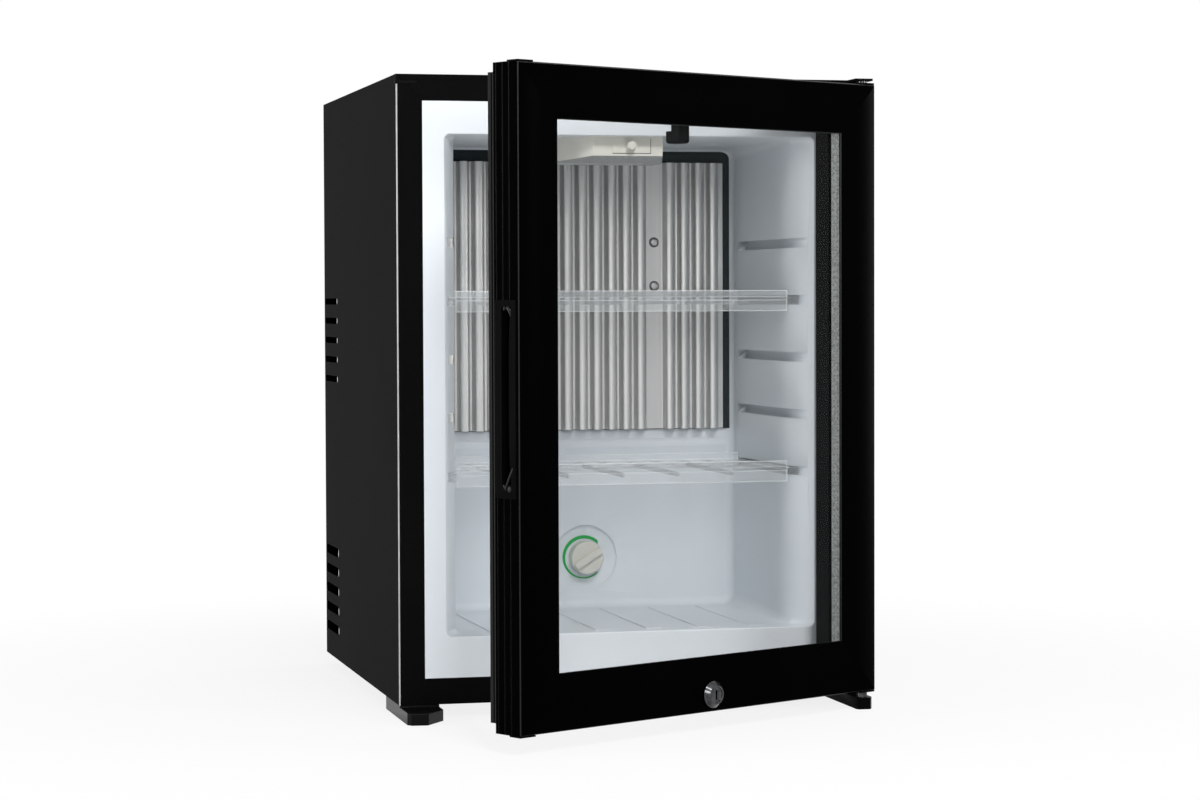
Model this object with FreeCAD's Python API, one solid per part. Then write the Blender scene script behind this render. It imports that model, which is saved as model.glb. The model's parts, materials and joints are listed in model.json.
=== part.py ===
import FreeCAD, Part
import math
import os

# Glass-door hotel minibar, 40 litre absorption type, in millimetres.
# X runs to the right and Y into the cabinet as its front is faced, Z is up.
# The origin is on the floor, midway under the cabinet.

V = FreeCAD.Vector
X_AXIS = V(1, 0, 0)
Y_AXIS = V(0, 1, 0)
Z_AXIS = V(0, 0, 1)
ORIGIN = V(0, 0, 0)

# Cabinet
cabinet_width = 414.0
cabinet_depth = 416.0
cabinet_height = 540.0
floor_gap = 12.0
sheet = 0.8
flange_width = 22.6
rear_lip = 12.0
mitre_gap = 0.5
bulkhead_setback = 128.0
cut = 2.0

# Cavity and liner
side_wall = 54.4
rear_wall = 79.5
cavity_draft = 1.5
cavity_floor_height = 58.0
cavity_ceiling_drop = 50.8
mouth_flare_width = 13.0
mouth_flare_depth = 26.0
cavity_corner = 5.0
cavity_rear_corner = 12.0
rim_radius = 1.2
back_radius = 8.0
liner_wall = 1.8

# Shelf grooves in the side walls
groove_count = 5
groove_top_drop = 92.1
groove_first_height = 194.4
groove_height = 8.6
groove_depth = 9.2
groove_back_gap = 18.0
groove_front_gap = 1.5

# Shelves
lower_shelf_groove_count = 0
upper_shelf_groove_count = 3
shelf_setback = 29.0
shelf_back_gap = 21.0
shelf_side_gap = 2.4
shelf_plate = 2.6
shelf_rail_height = 6.8
shelf_rail_gap = 1.6
shelf_apron_up = 6.0
shelf_apron_down = 12.6
shelf_apron_thickness = 2.6
shelf_rib_count = 5
shelf_rib_height = 4.0
shelf_rib_width = 2.2
shelf_slot_rows = 3
shelf_slot_width = 5.0
groove_clearance = 0.3
shelf_rail_start = 2.0
shelf_margin = 12.0
shelf_slot_margin_share = 0.12

# Door
door_depth = 37.0
gasket_reach = 7.0
gasket_slack = 0.5
door_bottom_gap = 4.3
door_top_gap = 6.5
door_open_angle = 29.0
stile_width = 43.0
top_rail_width = 44.0
bottom_rail_width = 46.5
rail_front_depth = 30.0
rail_wall = 3.0
rail_flat_width = 28.0
rail_bevel_drop = 1.5
rail_lip = 2.0
rail_edge_round = 2.2
chamber_width = 24.0
rib_positions = (10.5, 18.2, 26.0)
rib_width = 0.9
rib_depth = 0.7
inner_inset = 6.0
inner_frame_edge = 37.0
collar_width = 4.0
pane_thickness = 4.0
pane_gap = 10.0
pane_edge = 30.2
spacer_width = 7.5
spacer_groove = 2.0
dart_edge = 11.0
dart_width = 3.0
dart_depth = 4.0
gasket_edge = 6.6
gasket_width = 13.0
gasket_base = 1.4
gasket_neck_inset = 3.0
gasket_head = 3.6
magnet_inset = 2.4
magnet_wall = 0.8

# Hinge, shared by the foot, the upper plate and the bushes
hinge_side_inset = 9.0
hinge_front_inset = 7.5
pin_radius = 3.0
pin_collar_radius = 4.0
pin_running_gap = 0.05
pin_engagement = 11.0
bush_radius = 4.3
bush_length = 14.0
bush_head_width = 16.8
bush_head_depth = 13.0
bush_head_height = 1.3
plate_sheet = 2.0
plate_half = 9.8
plate_rise = 4.4
plate_step = 3.0
plate_start = 1.5
plate_leg = 17.0
plate_screw_rise = 8.0
slot_drop = 8.5
slot_tall = 3.4
slot_gap = 0.6
cap_sink = 0.4
leg_screw_spread = 5.5
face_gap = 0.3

# Lock
lock_offset = 4.5
lock_height = 14.7
lock_radius = 9.0
lock_flange_radius = 11.2
lock_flange_height = 2.4
lock_face_radius = 8.0
lock_face_height = 6.0
lock_plug_radius = 6.4
lock_barrel_length = 20.0
lock_plug_gap = 0.06
cam_length = 23.5
cam_width = 8.0
cam_thickness = 2.4
strike_thickness = 2.0
strike_width = 52.0
strike_reach = 29.0
strike_grip = 34.0
strike_slack = 2.2
strike_screw_spread = 18.0
base_screw_length = 10.0
cam_side_gap = 1.2
cam_screw_head = 2.0
keyway_recess = 0.6
keyway_width = 1.8
keyway_height = 8.0
keyway_depth = 12.0
nut_sides = 6
nut_radius = 11.0
nut_height = 3.0

# Handle recess in the free stile
insert_bottom_height = 191.0
insert_height = 156.0
insert_depth = 27.4
insert_proud = 1.2
insert_reach = 19.0
insert_wall = 2.0
insert_edge_radius = 0.95
cover_edge_radius = 0.85
recess_front = 10.8
recess_back = 19.5
recess_bottom_margin = 10.8
recess_top_margin = 5.4
undercut_start = 5.0
undercut_front = 6.0
grip_bulge = 2.6
grip_steps = 12
grip_power = 4

# Feet
foot_front_drop = 1.8
foot_rear_start = 77.0
foot_side_inset = 0.5
left_foot_width = 34.5
hinge_foot_width = 15.0
foot_nose = 5.5
left_foot_chamfer = 5.8
left_foot_slant = 24.0
hinge_foot_chamfer = 3.0
rear_foot_radius = 15.0
rear_foot_round = 1.9
rear_foot_inset = 32.0
foot_pin_floor = 2.0
foot_screw_recess = 5.0

# Evaporator on the cavity's back wall
evaporator_side_gap = 11.95
evaporator_bottom_height = 225.2
evaporator_top_gap = 13.1
evaporator_pitch = 14.1
evaporator_sheet = 1.4
evaporator_relief = 9.0
evaporator_margin = 1.5
seal_side = 7.0
seal_top = 10.5
seal_thickness = 2.0
seal_clearance = 0.05
flute_crest_share = 0.5
flute_valley_share = 0.16
bridge_centre = 73.6
bridge_width = 40.0
bridge_drop = 71.2
bridge_height = 78.0
bridge_depth = 14.0
bridge_screw_heights = (20.0, 61.0)
bridge_screw_depth = 8.0
screw_radius = 2.0
screw_head_radius = 4.0
screw_head_height = 2.2

# Thermostat low on the back wall
dial_offset = 7.3
dial_height = 105.5
dial_radius = 30.4
dial_recess = 4.0
knob_radius = 15.4
knob_height = 13.0
knob_edge_radius = 1.6
knob_bore_gap = 0.5
knob_ridge_width = 6.0
knob_ridge_height = 5.0
knob_ridge_angle = 33.0
scale_outer_radius = 20.4
scale_inner_radius = 18.3
scale_shift = 1.0
scale_inner_shift = 0.6
scale_inner_drop = 0.9
scale_thickness = 0.8
scale_open_side = 12.5
shaft_radius = 3.0
shaft_grip = 10.0
shaft_running_gap = 0.06
thermostat_width = 42.0
thermostat_depth = 26.0
capillary_radius = 1.2
bulb_radius = 3.0
bulb_length = 70.0
capillary_length = 150.0

# Lamp and door switch under the cavity's ceiling
lamp_front_setback = 13.0
lamp_face_half_width = 31.2
lamp_left_reach = 62.6
lamp_right_flare = 9.5
lamp_flare_depth = 40.0
lamp_shoulder = 32.0
lamp_depth = 75.0
lamp_face_height = 16.8
lamp_belly = 21.6
lamp_wall = 1.8
guide_length = 26.0
board_drop = 8.0
board_depth = 22.0
emitter_count = 6
emitter_pitch = 13.0
emitter_size = 4.5
emitter_height = 1.5
lens_thickness = 1.6
lens_margin = 5.0
plunger_offset = 2.3
plunger_drop = 8.0
plunger_radius = 4.0
plunger_tip_radius = 2.0
plunger_out = 8.0
plunger_in = 16.0
plunger_gap = 0.08
switch_frame_width = 34.0
switch_frame_height = 12.5
switch_frame_proud = 0.6
switch_frame_shift = 0.8
spring_radius = 2.8
spring_wire = 0.5
spring_turns = 5
spring_end_gap = 0.1
stop_thickness = 6.0
stop_half = 5.9
tab_left_reach = 2.5
tab_right_reach = 9.7
tab_front_gap = 1.5
tab_thickness = 2.5
tab_nose_height = 10.5

# Cooling unit in the rear compartment
unit_offset_back = 62.0
tube_radius = 8.0
tube_bend = 12.0
exchanger_radius = 6.0
boiler_margin = 79.0
boiler_radius = 32.0
can_wall = 1.0
boiler_bottom_height = 96.0
boiler_height = 230.0
heater_radius = 6.0
heater_length = 40.0
condenser_drop = 70.0
condenser_margin = 65.0
fin_count = 22
fin_pitch = 8.6
fin_width = 46.0
fin_height = 52.0
fin_sheet = 0.8
coil_runs = 5
coil_head_gap = 68.0
boiler_gap = 27.0
coil_margin = 57.0
coil_bottom_height = 118.0
vessel_radius = 26.0
vessel_gap = 53.0
vessel_margin = 47.0
vessel_wall = 1.6
vessel_end_radius = 8.5
vessel_height = 52.0
bracket_width = 18.0
bracket_sheet = 1.5
control_width = 84.0
control_height = 44.0
control_margin = 10.0
control_depth = 62.0
control_back_gap = 4.0
inlet_width = 28.0
inlet_height = 20.0
inlet_depth = 18.0
inlet_pin_rise = 2.5
vent_count = 5
vent_pitch = 18.75
vent_lower_size = 9.0
vent_upper_size = 6.0
base_slot_width = 7.0
vent_length = 76.0
vent_back_gap = 5.0
vent_lower_height = 28.5
vent_upper_height = 271.5
drain_radius = 4.5
drain_wall = 1.0
drain_tail = 14.0
ledge_reach = 5.0
ledge_height = 14.0
ledge_drop = 9.0
floor_rib_count = 6
floor_rib_width = 13.0
floor_rib_height = 0.8

# Places worked out from the sizes above
left = -cabinet_width / 2
right = cabinet_width / 2
front = -cabinet_depth / 2
back = cabinet_depth / 2
bottom = floor_gap
top = floor_gap + cabinet_height
bulkhead = back - bulkhead_setback
cavity_half_width = cabinet_width / 2 - side_wall
cavity_depth = cabinet_depth - bulkhead_setback - rear_wall
cavity_back = front + cavity_depth
cavity_floor = bottom + cavity_floor_height
cavity_ceiling = top - cavity_ceiling_drop
door_front = front - gasket_reach - door_depth
door_bottom = bottom + door_bottom_gap
door_top = top - door_top_gap
hinge_x = right - hinge_side_inset
hinge_y = door_front + hinge_front_inset
unit_y = bulkhead + unit_offset_back
groove_span = cavity_ceiling - bottom - groove_top_drop - groove_first_height
groove_pitch = groove_span / (groove_count - 1)
shelf_depth = cavity_depth - shelf_setback - shelf_back_gap
evaporator_width = 2 * (cavity_half_width - evaporator_side_gap)
evaporator_height = cavity_ceiling - evaporator_top_gap - bottom - evaporator_bottom_height
bridge_z = cavity_ceiling - bridge_drop - bridge_height
boiler_x = left + boiler_margin
condenser_x = right - condenser_margin
coil_right = right - coil_margin
vessel_right = right - vessel_margin
slot_bottom = top - slot_drop
slot_top = slot_bottom + slot_tall
leg_screw_height = slot_bottom - plate_screw_rise
leg_screw_places = (hinge_x - leg_screw_spread, hinge_x + leg_screw_spread)
tongue_half = right - sheet - face_gap - hinge_x
tongue_bottom = slot_bottom + slot_gap + plate_rise
lock_z = door_bottom + lock_height
cam_y = door_front + lock_barrel_length
pane_front = rail_bevel_drop + rail_lip
pane_back = pane_front + pane_thickness + pane_gap
foot_screw_y = front + foot_rear_start / 2
left_foot_screw_x = left + foot_side_inset + left_foot_width / 2
hinge_foot_screw_x = right - foot_side_inset - hinge_foot_width / 2
strike_screw_places = (lock_offset - strike_screw_spread, lock_offset + strike_screw_spread)
lamp_front = front + lamp_front_setback
lamp_back = lamp_front + lamp_depth
plunger_z = cavity_ceiling - plunger_drop
cold_tube_y = cavity_back + liner_wall + bridge_depth
evaporator_tube_z = bridge_z + bridge_height / 2
evaporator_tube_ends = (bridge_centre - bridge_width / 2 - 2 * tube_radius,
                        bridge_centre + bridge_width / 2 + 2 * tube_radius)
drain_x = -evaporator_width / 4
drain_z = bottom + evaporator_bottom_height - ledge_drop - ledge_height / 2
condenser_z = top - condenser_drop
boiler_bottom = bottom + boiler_bottom_height
boiler_top = boiler_bottom + boiler_height
coil_bottom = bottom + coil_bottom_height
vessel_z = bottom + vessel_height
control_x = left + control_margin
coil_top = evaporator_tube_z - 2 * tube_radius - bracket_width / 2 - coil_head_gap
coil_pitch = (coil_top - coil_bottom) / (coil_runs - 1)
coil_left = boiler_x + boiler_radius + boiler_gap + coil_pitch / 2 + tube_radius
vessel_left = control_x + control_width + vessel_gap
screw_seat = cavity_back - seal_thickness - evaporator_sheet
flute_count = int((evaporator_width - 2 * evaporator_margin) // evaporator_pitch)
flute_start = -flute_count * evaporator_pitch / 2
screw_flute = flute_start + (bridge_centre - flute_start) // evaporator_pitch * evaporator_pitch


def box(x0, x1, y0, y1, z0, z1):
    """A block between two opposite corners."""
    return Part.makeBox(x1 - x0, y1 - y0, z1 - z0, V(x0, y0, z0))


def rod(radius, length, start, axis):
    """A round bar from a start point along an axis."""
    return Part.makeCylinder(radius, length, start, axis)


def prism(points, sweep):
    """A straight-sided solid: a closed outline carried along a vector."""
    wire = Part.makePolygon([V(*p) for p in points] + [V(*points[0])])
    return Part.Face(wire).extrude(sweep)


def fuse(shapes):
    """One solid from several that touch or overlap."""
    solid = shapes[0]
    if len(shapes) > 1:
        solid = solid.fuse(shapes[1:])
    return solid.removeSplitter()


def cut_all(solid, tools):
    """A solid with several tools taken out of it."""
    return solid.cut(Part.makeCompound(tools)) if tools else solid


def screw(radius, length, head_radius, head_height, start, axis):
    """A pan-head screw whose head's underside is at the start point, shank along the axis."""
    head = Part.makeCone(head_radius, head_radius - head_height / 2, head_height, start, axis * -1)
    return fuse([rod(radius, length, start, axis), head])


def rounded_rectangle(x_half, z0, z1, radius, y):
    """A closed wire in a plane of constant Y with round corners."""
    x0 = -x_half
    x1 = x_half
    k = radius * (1 - math.sqrt(0.5))
    edges = [
        Part.LineSegment(V(x0 + radius, y, z0), V(x1 - radius, y, z0)).toShape(),
        Part.Arc(V(x1 - radius, y, z0), V(x1 - k, y, z0 + k), V(x1, y, z0 + radius)).toShape(),
        Part.LineSegment(V(x1, y, z0 + radius), V(x1, y, z1 - radius)).toShape(),
        Part.Arc(V(x1, y, z1 - radius), V(x1 - k, y, z1 - k), V(x1 - radius, y, z1)).toShape(),
        Part.LineSegment(V(x1 - radius, y, z1), V(x0 + radius, y, z1)).toShape(),
        Part.Arc(V(x0 + radius, y, z1), V(x0 + k, y, z1 - k), V(x0, y, z1 - radius)).toShape(),
        Part.LineSegment(V(x0, y, z1 - radius), V(x0, y, z0 + radius)).toShape(),
        Part.Arc(V(x0, y, z0 + radius), V(x0 + k, y, z0 + k), V(x0 + radius, y, z0)).toShape(),
    ]
    return Part.Wire(edges)


# Cabinet shell

def side_vents(x0, x1):
    """The slots of one side panel, a low group and a high group near the rear edge."""
    y1 = back - vent_back_gap
    y0 = y1 - vent_length
    slots = []
    for group, size in ((vent_lower_height, vent_lower_size), (vent_upper_height, vent_upper_size)):
        r = size / 2
        for i in range(vent_count):
            z = bottom + group + i * vent_pitch
            slots.append(box(x0, x1, y0 + r, y1 - r, z - r, z + r))
            slots.append(rod(r, x1 - x0, V(x0, y0 + r, z), X_AXIS))
            slots.append(rod(r, x1 - x0, V(x0, y1 - r, z), X_AXIS))
    return slots


def hinge_slot(x_centre):
    """The slot in the front flange that an upper hinge plate comes out of."""
    return box(x_centre - plate_half, x_centre + plate_half, front - cut, front + sheet + cut,
               slot_bottom, slot_top)


def outer_wrap():
    """One folded sheet: two sides and the top, with front flanges and rear lips."""
    shell = box(left, right, front, back, bottom, top)
    hollow = box(left + sheet, right - sheet, front + sheet, back - sheet, bottom - cut, top - sheet)
    mouth = box(left + flange_width, right - flange_width, front - cut, front + sheet + cut,
                bottom - cut, top - flange_width)
    rear = box(left + rear_lip, right - rear_lip, back - sheet - cut, back + cut,
               bottom - cut, top - rear_lip)
    mitres = []
    for side in (left, right):
        run = flange_width if side < 0 else -flange_width
        line = [(side, front - cut, top), (side + mitre_gap * run / flange_width, front - cut, top),
                (side + run, front - cut, top - flange_width + mitre_gap),
                (side + run, front - cut, top - flange_width)]
        margin = 2 * sheet * run / flange_width
        ends = sorted((side + margin, side + run - margin))
        limit = box(ends[0], ends[1], front - cut, front + sheet / 2,
                    top - flange_width + 2 * sheet, top - 2 * sheet)
        mitres.append(prism(line, V(0, 2 * cut, 0)).common(limit))
    tools = [hollow, mouth, rear] + mitres
    tools += side_vents(left - cut, left + sheet + cut)
    tools += side_vents(right - sheet - cut, right + cut)
    tools += [hinge_slot(hinge_x), hinge_slot(-hinge_x)]
    tools += [rod(screw_radius, 2 * cut + sheet, V(x, front - cut, leg_screw_height), Y_AXIS)
              for x in leg_screw_places]
    return cut_all(shell, tools)


def base_pan():
    """The bottom sheet, with its front flange and its inner lips against the sides."""
    x0 = left + sheet
    x1 = right - sheet
    floor = box(x0, x1, front, back - sheet, bottom, bottom + sheet)
    flange = box(left + flange_width, right - flange_width, front, front + sheet,
                 bottom, bottom + flange_width)
    pan = fuse([floor, flange] + pan_lips())
    low = bottom - cut
    high = bottom + rear_lip
    corner = [box(x0 - cut, left + flange_width, front - cut, front + sheet, low, high),
              box(right - flange_width, x1 + cut, front - cut, front + sheet, low, high)]
    slots = []
    span = back - bulkhead
    for i in range(vent_count):
        y = bulkhead + span * (i + 1) / (vent_count + 1)
        slots.append(box(-cabinet_width / 4, cabinet_width / 4,
                         y - base_slot_width / 2, y + base_slot_width / 2, low, bottom + sheet + cut))
    holes = [rod(screw_radius, sheet + 2 * cut, V(x, y, low), Z_AXIS) for x, y in base_screw_places()]
    return cut_all(pan, corner + slots + holes)


def pan_lips():
    """The space of the base's two inner lips."""
    x0 = left + sheet
    x1 = right - sheet
    return [box(x0, x0 + sheet, front + sheet, back - sheet, bottom, bottom + rear_lip),
            box(x1 - sheet, x1, front + sheet, back - sheet, bottom, bottom + rear_lip)]


def base_screw_places():
    """Where screws come up through the base: two through the strike and one through each front foot."""
    places = [(x, front + strike_grip / 2) for x in strike_screw_places]
    return places + [(left_foot_screw_x, foot_screw_y), (hinge_foot_screw_x, foot_screw_y)]


def rear_bulkhead():
    """The sheet that closes the insulation and carries the cooling unit."""
    plate = box(left + sheet, right - sheet, bulkhead, bulkhead + sheet, bottom + sheet, top - sheet)
    plate = cut_all(plate, pan_lips())
    holes = [rod(tube_radius, 2 * cut + sheet, V(x, bulkhead - cut, evaporator_tube_z), Y_AXIS)
             for x in evaporator_tube_ends]
    holes.append(rod(drain_radius, 2 * cut + sheet, V(drain_x, bulkhead - cut, drain_z), Y_AXIS))
    return cut_all(plate, holes)


# Liner

def cavity(grow):
    """The cold space as a solid with its grooves and dial recess, grown outward by the given amount."""
    pieces = [plain_cavity(grow)]
    for i in range(groove_count):
        z = groove_z(i)
        y_end = cavity_back - groove_back_gap + grow
        y_start = front + groove_front_gap - grow
        for side in (-1, 1):
            x_in = side * (cavity_half_width - 2 * cavity_draft)
            x_out = side * (cavity_half_width + groove_depth + grow)
            pieces.append(box(min(x_in, x_out), max(x_in, x_out), y_start, y_end,
                              z - grow, z + groove_height + grow))
    pieces.append(rod(dial_radius + grow, dial_recess + grow + back_radius,
                      V(dial_offset, cavity_back - back_radius, bottom + dial_height), Y_AXIS))
    return fuse(pieces)


def groove_z(level):
    """The underside of a groove, counted from the lowest."""
    return bottom + groove_first_height - groove_height / 2 + level * groove_pitch


def mouth_block(y0, half_width, z0, z1, hollow):
    """A block that reaches back to the bulkhead, with a hollow open at its front face."""
    return box(-half_width, half_width, y0, bulkhead, z0, z1).cut(hollow)


def rounded_mouth(block, y0, half_width, z0, z1):
    """The block with the edge round its hollow's mouth rounded."""
    mouth = [e for e in block.Edges
             if abs(e.BoundBox.YMin - y0) < mitre_gap and abs(e.BoundBox.YMax - y0) < mitre_gap
             and e.BoundBox.XMin > -half_width + sheet and e.BoundBox.XMax < half_width - sheet
             and e.BoundBox.ZMin > z0 + sheet and e.BoundBox.ZMax < z1 - sheet]
    return block.makeFillet(rim_radius, mouth)


def plain_cavity(grow):
    """The cold space without grooves or dial recess: a flared mouth and slightly drafted walls."""
    x_mouth = cavity_half_width + mouth_flare_width + grow
    x_front = cavity_half_width + grow
    x_back = cavity_half_width - cavity_draft + grow
    z0 = cavity_floor - grow
    z1 = cavity_ceiling + grow
    y0 = front + mouth_flare_depth
    y1 = cavity_back + grow
    flare_slope = mouth_flare_width / mouth_flare_depth
    corner = cavity_corner + grow
    mouth = Part.makeLoft([rounded_rectangle(x_mouth + flare_slope * cut, z0, z1, corner, front - cut),
                           rounded_rectangle(x_front, z0, z1, corner, y0)], True, True)
    body = Part.makeLoft([rounded_rectangle(x_front, z0, z1, corner, y0),
                          rounded_rectangle(x_back, z0, z1, cavity_rear_corner + grow, y1)], True, True)
    rim = [e for e in body.Edges if abs(e.BoundBox.YMin - y1) < sheet and abs(e.BoundBox.YMax - y1) < sheet]
    return fuse([mouth, body.makeFillet(back_radius + grow, rim)])


def inner_liner():
    """The formed white lining: face, cold space, grooves, dial recess, drip ledge and floor ribs."""
    half = cabinet_width / 2 - flange_width
    z0 = bottom + flange_width
    z1 = top - flange_width
    inside = mouth_block(front, half, z0, z1, plain_cavity(0))
    inside = rounded_mouth(inside, front, half, z0, z1).cut(cavity(0))
    outside = mouth_block(front + liner_wall, half + cut, z0 - cut, z1 + cut, cavity(liner_wall))
    liner = inside.cut(outside)
    edge = cavity_half_width - cavity_draft - back_radius
    ledge_top = bottom + evaporator_bottom_height - ledge_drop
    ledge = prism([(-edge, cavity_back + liner_wall / 2, ledge_top),
                   (-edge, cavity_back - ledge_reach, ledge_top),
                   (-edge, cavity_back - ledge_reach, ledge_top - ledge_height / 2),
                   (-edge, cavity_back + liner_wall / 2, ledge_top - 2 * ledge_height)],
                  V(2 * edge, 0, 0))
    ribs = []
    rib_span = 2 * (cavity_half_width - cavity_draft - cavity_rear_corner)
    for i in range(floor_rib_count):
        x = -rib_span / 2 + rib_span * (i + 0.5) / floor_rib_count
        ribs.append(box(x - floor_rib_width / 2, x + floor_rib_width / 2,
                        front + 2 * back_radius, cavity_back - 2 * back_radius,
                        cavity_floor - liner_wall / 2, cavity_floor + floor_rib_height))
    liner = fuse([liner, ledge] + ribs)
    window = box(bridge_centre - bridge_width / 2, bridge_centre + bridge_width / 2,
                 cavity_back - cut, cavity_back + liner_wall + cut,
                 bridge_z, bridge_z + bridge_height)
    shaft_hole = rod(shaft_radius + knob_bore_gap, 4 * cut,
                     V(dial_offset, cavity_back + dial_recess - 2 * cut, bottom + dial_height), Y_AXIS)
    drain_start = V(drain_x, cavity_back - ledge_reach / 2, drain_z)
    drain = rod(drain_radius, ledge_reach + 2 * cut, drain_start, Y_AXIS)
    return cut_all(liner, [window, shaft_hole, drain])


def foam_insulation(embedded):
    """The foam between liner, wrap, base and bulkhead, cut round all that it holds."""
    block = box(left + sheet, right - sheet, front + sheet, bulkhead, bottom + sheet, top - sheet)
    half = cabinet_width / 2 - flange_width
    space = mouth_block(front + liner_wall, cabinet_width, -cabinet_height, 2 * cabinet_height,
                        cavity(liner_wall))
    face = box(-half, half, front - cut, front + liner_wall, bottom + flange_width, top - flange_width)
    foam = block.cut(face)
    mouth = box(-cabinet_width, cabinet_width, front - cut, front + liner_wall,
                -cabinet_height, 2 * cabinet_height)
    rest = foam.common(space)
    border = foam.common(mouth)
    foam = rest.fuse(border).removeSplitter()
    return cut_all(foam, pan_lips() + embedded)


# Evaporator

def corrugation(offset):
    """The ribbed profile across the plate, as X and Y points, moved back by an offset."""
    valley = screw_seat + offset
    crest = valley - evaporator_relief
    points = [(-evaporator_width / 2, valley)]
    for i in range(flute_count):
        x = flute_start + i * evaporator_pitch
        points.append((x + evaporator_pitch * flute_valley_share / 2, valley))
        points.append((x + evaporator_pitch * (0.5 - flute_crest_share / 2), crest))
        points.append((x + evaporator_pitch * (0.5 + flute_crest_share / 2), crest))
        points.append((x + evaporator_pitch * (1 - flute_valley_share / 2), valley))
    points.append((evaporator_width / 2, valley))
    return points


def evaporator_plate():
    """The ribbed aluminium plate that the cold tube chills."""
    z0 = bottom + evaporator_bottom_height
    face = corrugation(0)
    rear = corrugation(evaporator_sheet)
    outline = [(x, y, z0) for x, y in face] + [(x, y, z0) for x, y in reversed(rear)]
    plate = prism(outline, V(0, 0, evaporator_height))
    pad = box(screw_flute, screw_flute + evaporator_pitch, screw_seat, cavity_back - seal_thickness,
              bridge_z, bridge_z + bridge_height)
    recess = box(screw_flute, screw_flute + evaporator_pitch,
                 screw_seat - evaporator_relief - cut, screw_seat, bridge_z, bridge_z + bridge_height)
    length = 2 * cut + evaporator_sheet
    holes = [rod(screw_radius, length, V(bridge_centre, screw_seat - cut, bridge_z + h), Y_AXIS)
             for h in bridge_screw_heights]
    return cut_all(fuse([cut_all(plate, [recess]), pad]), holes)


def evaporator_seal():
    """The dark strip round the plate's top and sides, between it and the wall."""
    half = evaporator_width / 2 + seal_side
    z0 = bottom + evaporator_bottom_height
    z1 = z0 + evaporator_height + seal_top
    frame = box(-half, half, cavity_back - seal_thickness, cavity_back, z0, z1)
    hole = box(bridge_centre - bridge_width / 2, bridge_centre + bridge_width / 2,
               cavity_back - seal_thickness - cut, cavity_back + cut, bridge_z, bridge_z + bridge_height)
    return frame.cut(hole).common(plain_cavity(-seal_clearance))


def heat_bridge():
    """The aluminium block that joins the plate to the cold tube through the wall."""
    block = box(bridge_centre - bridge_width / 2, bridge_centre + bridge_width / 2,
                cavity_back - seal_thickness, cavity_back + liner_wall + bridge_depth,
                bridge_z, bridge_z + bridge_height)
    groove = rod(tube_radius, bridge_width + 2 * cut,
                 V(bridge_centre - bridge_width / 2 - cut, cold_tube_y, evaporator_tube_z), X_AXIS)
    y0 = cavity_back - seal_thickness
    holes = [rod(screw_radius, bridge_screw_depth, V(bridge_centre, y0, bridge_z + h), Y_AXIS)
             for h in bridge_screw_heights]
    return cut_all(block, [groove] + holes)


def evaporator_screws():
    """The two screws that hold the plate to the block behind it."""
    return [screw(screw_radius, evaporator_sheet + bridge_screw_depth, screw_head_radius, screw_head_height,
                  V(bridge_centre, screw_seat, bridge_z + h), Y_AXIS) for h in bridge_screw_heights]


def bend(radius, start, middle, end):
    """A turn of tube along the arc through three points."""
    path = Part.Wire([Part.Arc(start, middle, end).toShape()])
    tangent = path.Edges[0].tangentAt(path.Edges[0].FirstParameter)
    section = Part.Wire([Part.makeCircle(radius, start, tangent)])
    return path.makePipeShell([section], True, False)


def tube_route(points, radius, turn):
    """A tube along straight runs joined by tangent arcs, as one solid."""
    edges = []
    here = points[0]
    for i in range(1, len(points) - 1):
        before = points[i].sub(points[i - 1]).normalize()
        after = points[i + 1].sub(points[i]).normalize()
        angle = before.getAngle(after)
        step = turn * math.tan(angle / 2)
        a = points[i].sub(before * step)
        b = points[i].add(after * step)
        inward = after.sub(before).normalize()
        centre = points[i].add(inward * (turn / math.cos(angle / 2)))
        middle = centre.sub(inward * turn)
        edges.append(Part.LineSegment(here, a).toShape())
        edges.append(Part.Arc(a, middle, b).toShape())
        here = b
    edges.append(Part.LineSegment(here, points[-1]).toShape())
    path = Part.Wire(edges)
    direction = points[1].sub(points[0])
    section = Part.Wire([Part.makeCircle(radius, points[0], direction)])
    return path.makePipeShell([section], True, False)


def evaporator_tube():
    """The cold tube: in through the bulkhead, across the block's back and out again."""
    x0 = evaporator_tube_ends[0]
    x1 = evaporator_tube_ends[1]
    z = evaporator_tube_z
    rear = bulkhead + 2 * tube_radius
    return tube_route([V(x1, rear, z), V(x1, cold_tube_y, z), V(x0, cold_tube_y, z), V(x0, rear, z)],
                      tube_radius, tube_bend)


# Thermostat

def thermostat_knob():
    """The round knob with its grip ridge, bored for the shaft."""
    z = bottom + dial_height
    y0 = cavity_back + dial_recess - face_gap
    disc = rod(knob_radius, knob_height, V(dial_offset, y0 - knob_height, z), Y_AXIS)
    rim = [e for e in disc.Edges
           if abs(e.BoundBox.YMax - (y0 - knob_height)) < sheet and e.Length > knob_radius]
    disc = disc.makeFillet(knob_edge_radius, rim)
    ridge = box(-knob_radius + sheet, knob_radius - sheet,
                y0 - knob_height - knob_ridge_height, y0 - knob_height / 2,
                -knob_ridge_width / 2, knob_ridge_width / 2)
    ridge = ridge.common(rod(knob_radius - sheet, 2 * knob_height + knob_ridge_height,
                             V(0, y0 - 2 * knob_height, 0), Y_AXIS))
    ridge.rotate(ORIGIN, Y_AXIS, -knob_ridge_angle)
    ridge.translate(V(dial_offset, 0, z))
    bore = rod(shaft_radius, knob_height, V(dial_offset, y0 - knob_height / 2, z), Y_AXIS)
    return fuse([disc, ridge]).cut(bore)


def thermostat_shaft():
    """The shaft from the knob to the switch behind the wall."""
    y0 = cavity_back + dial_recess - face_gap - knob_height / 2
    y1 = cavity_back + dial_recess + liner_wall + shaft_grip
    return rod(shaft_radius, y1 - y0, V(dial_offset, y0, bottom + dial_height), Y_AXIS)


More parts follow.
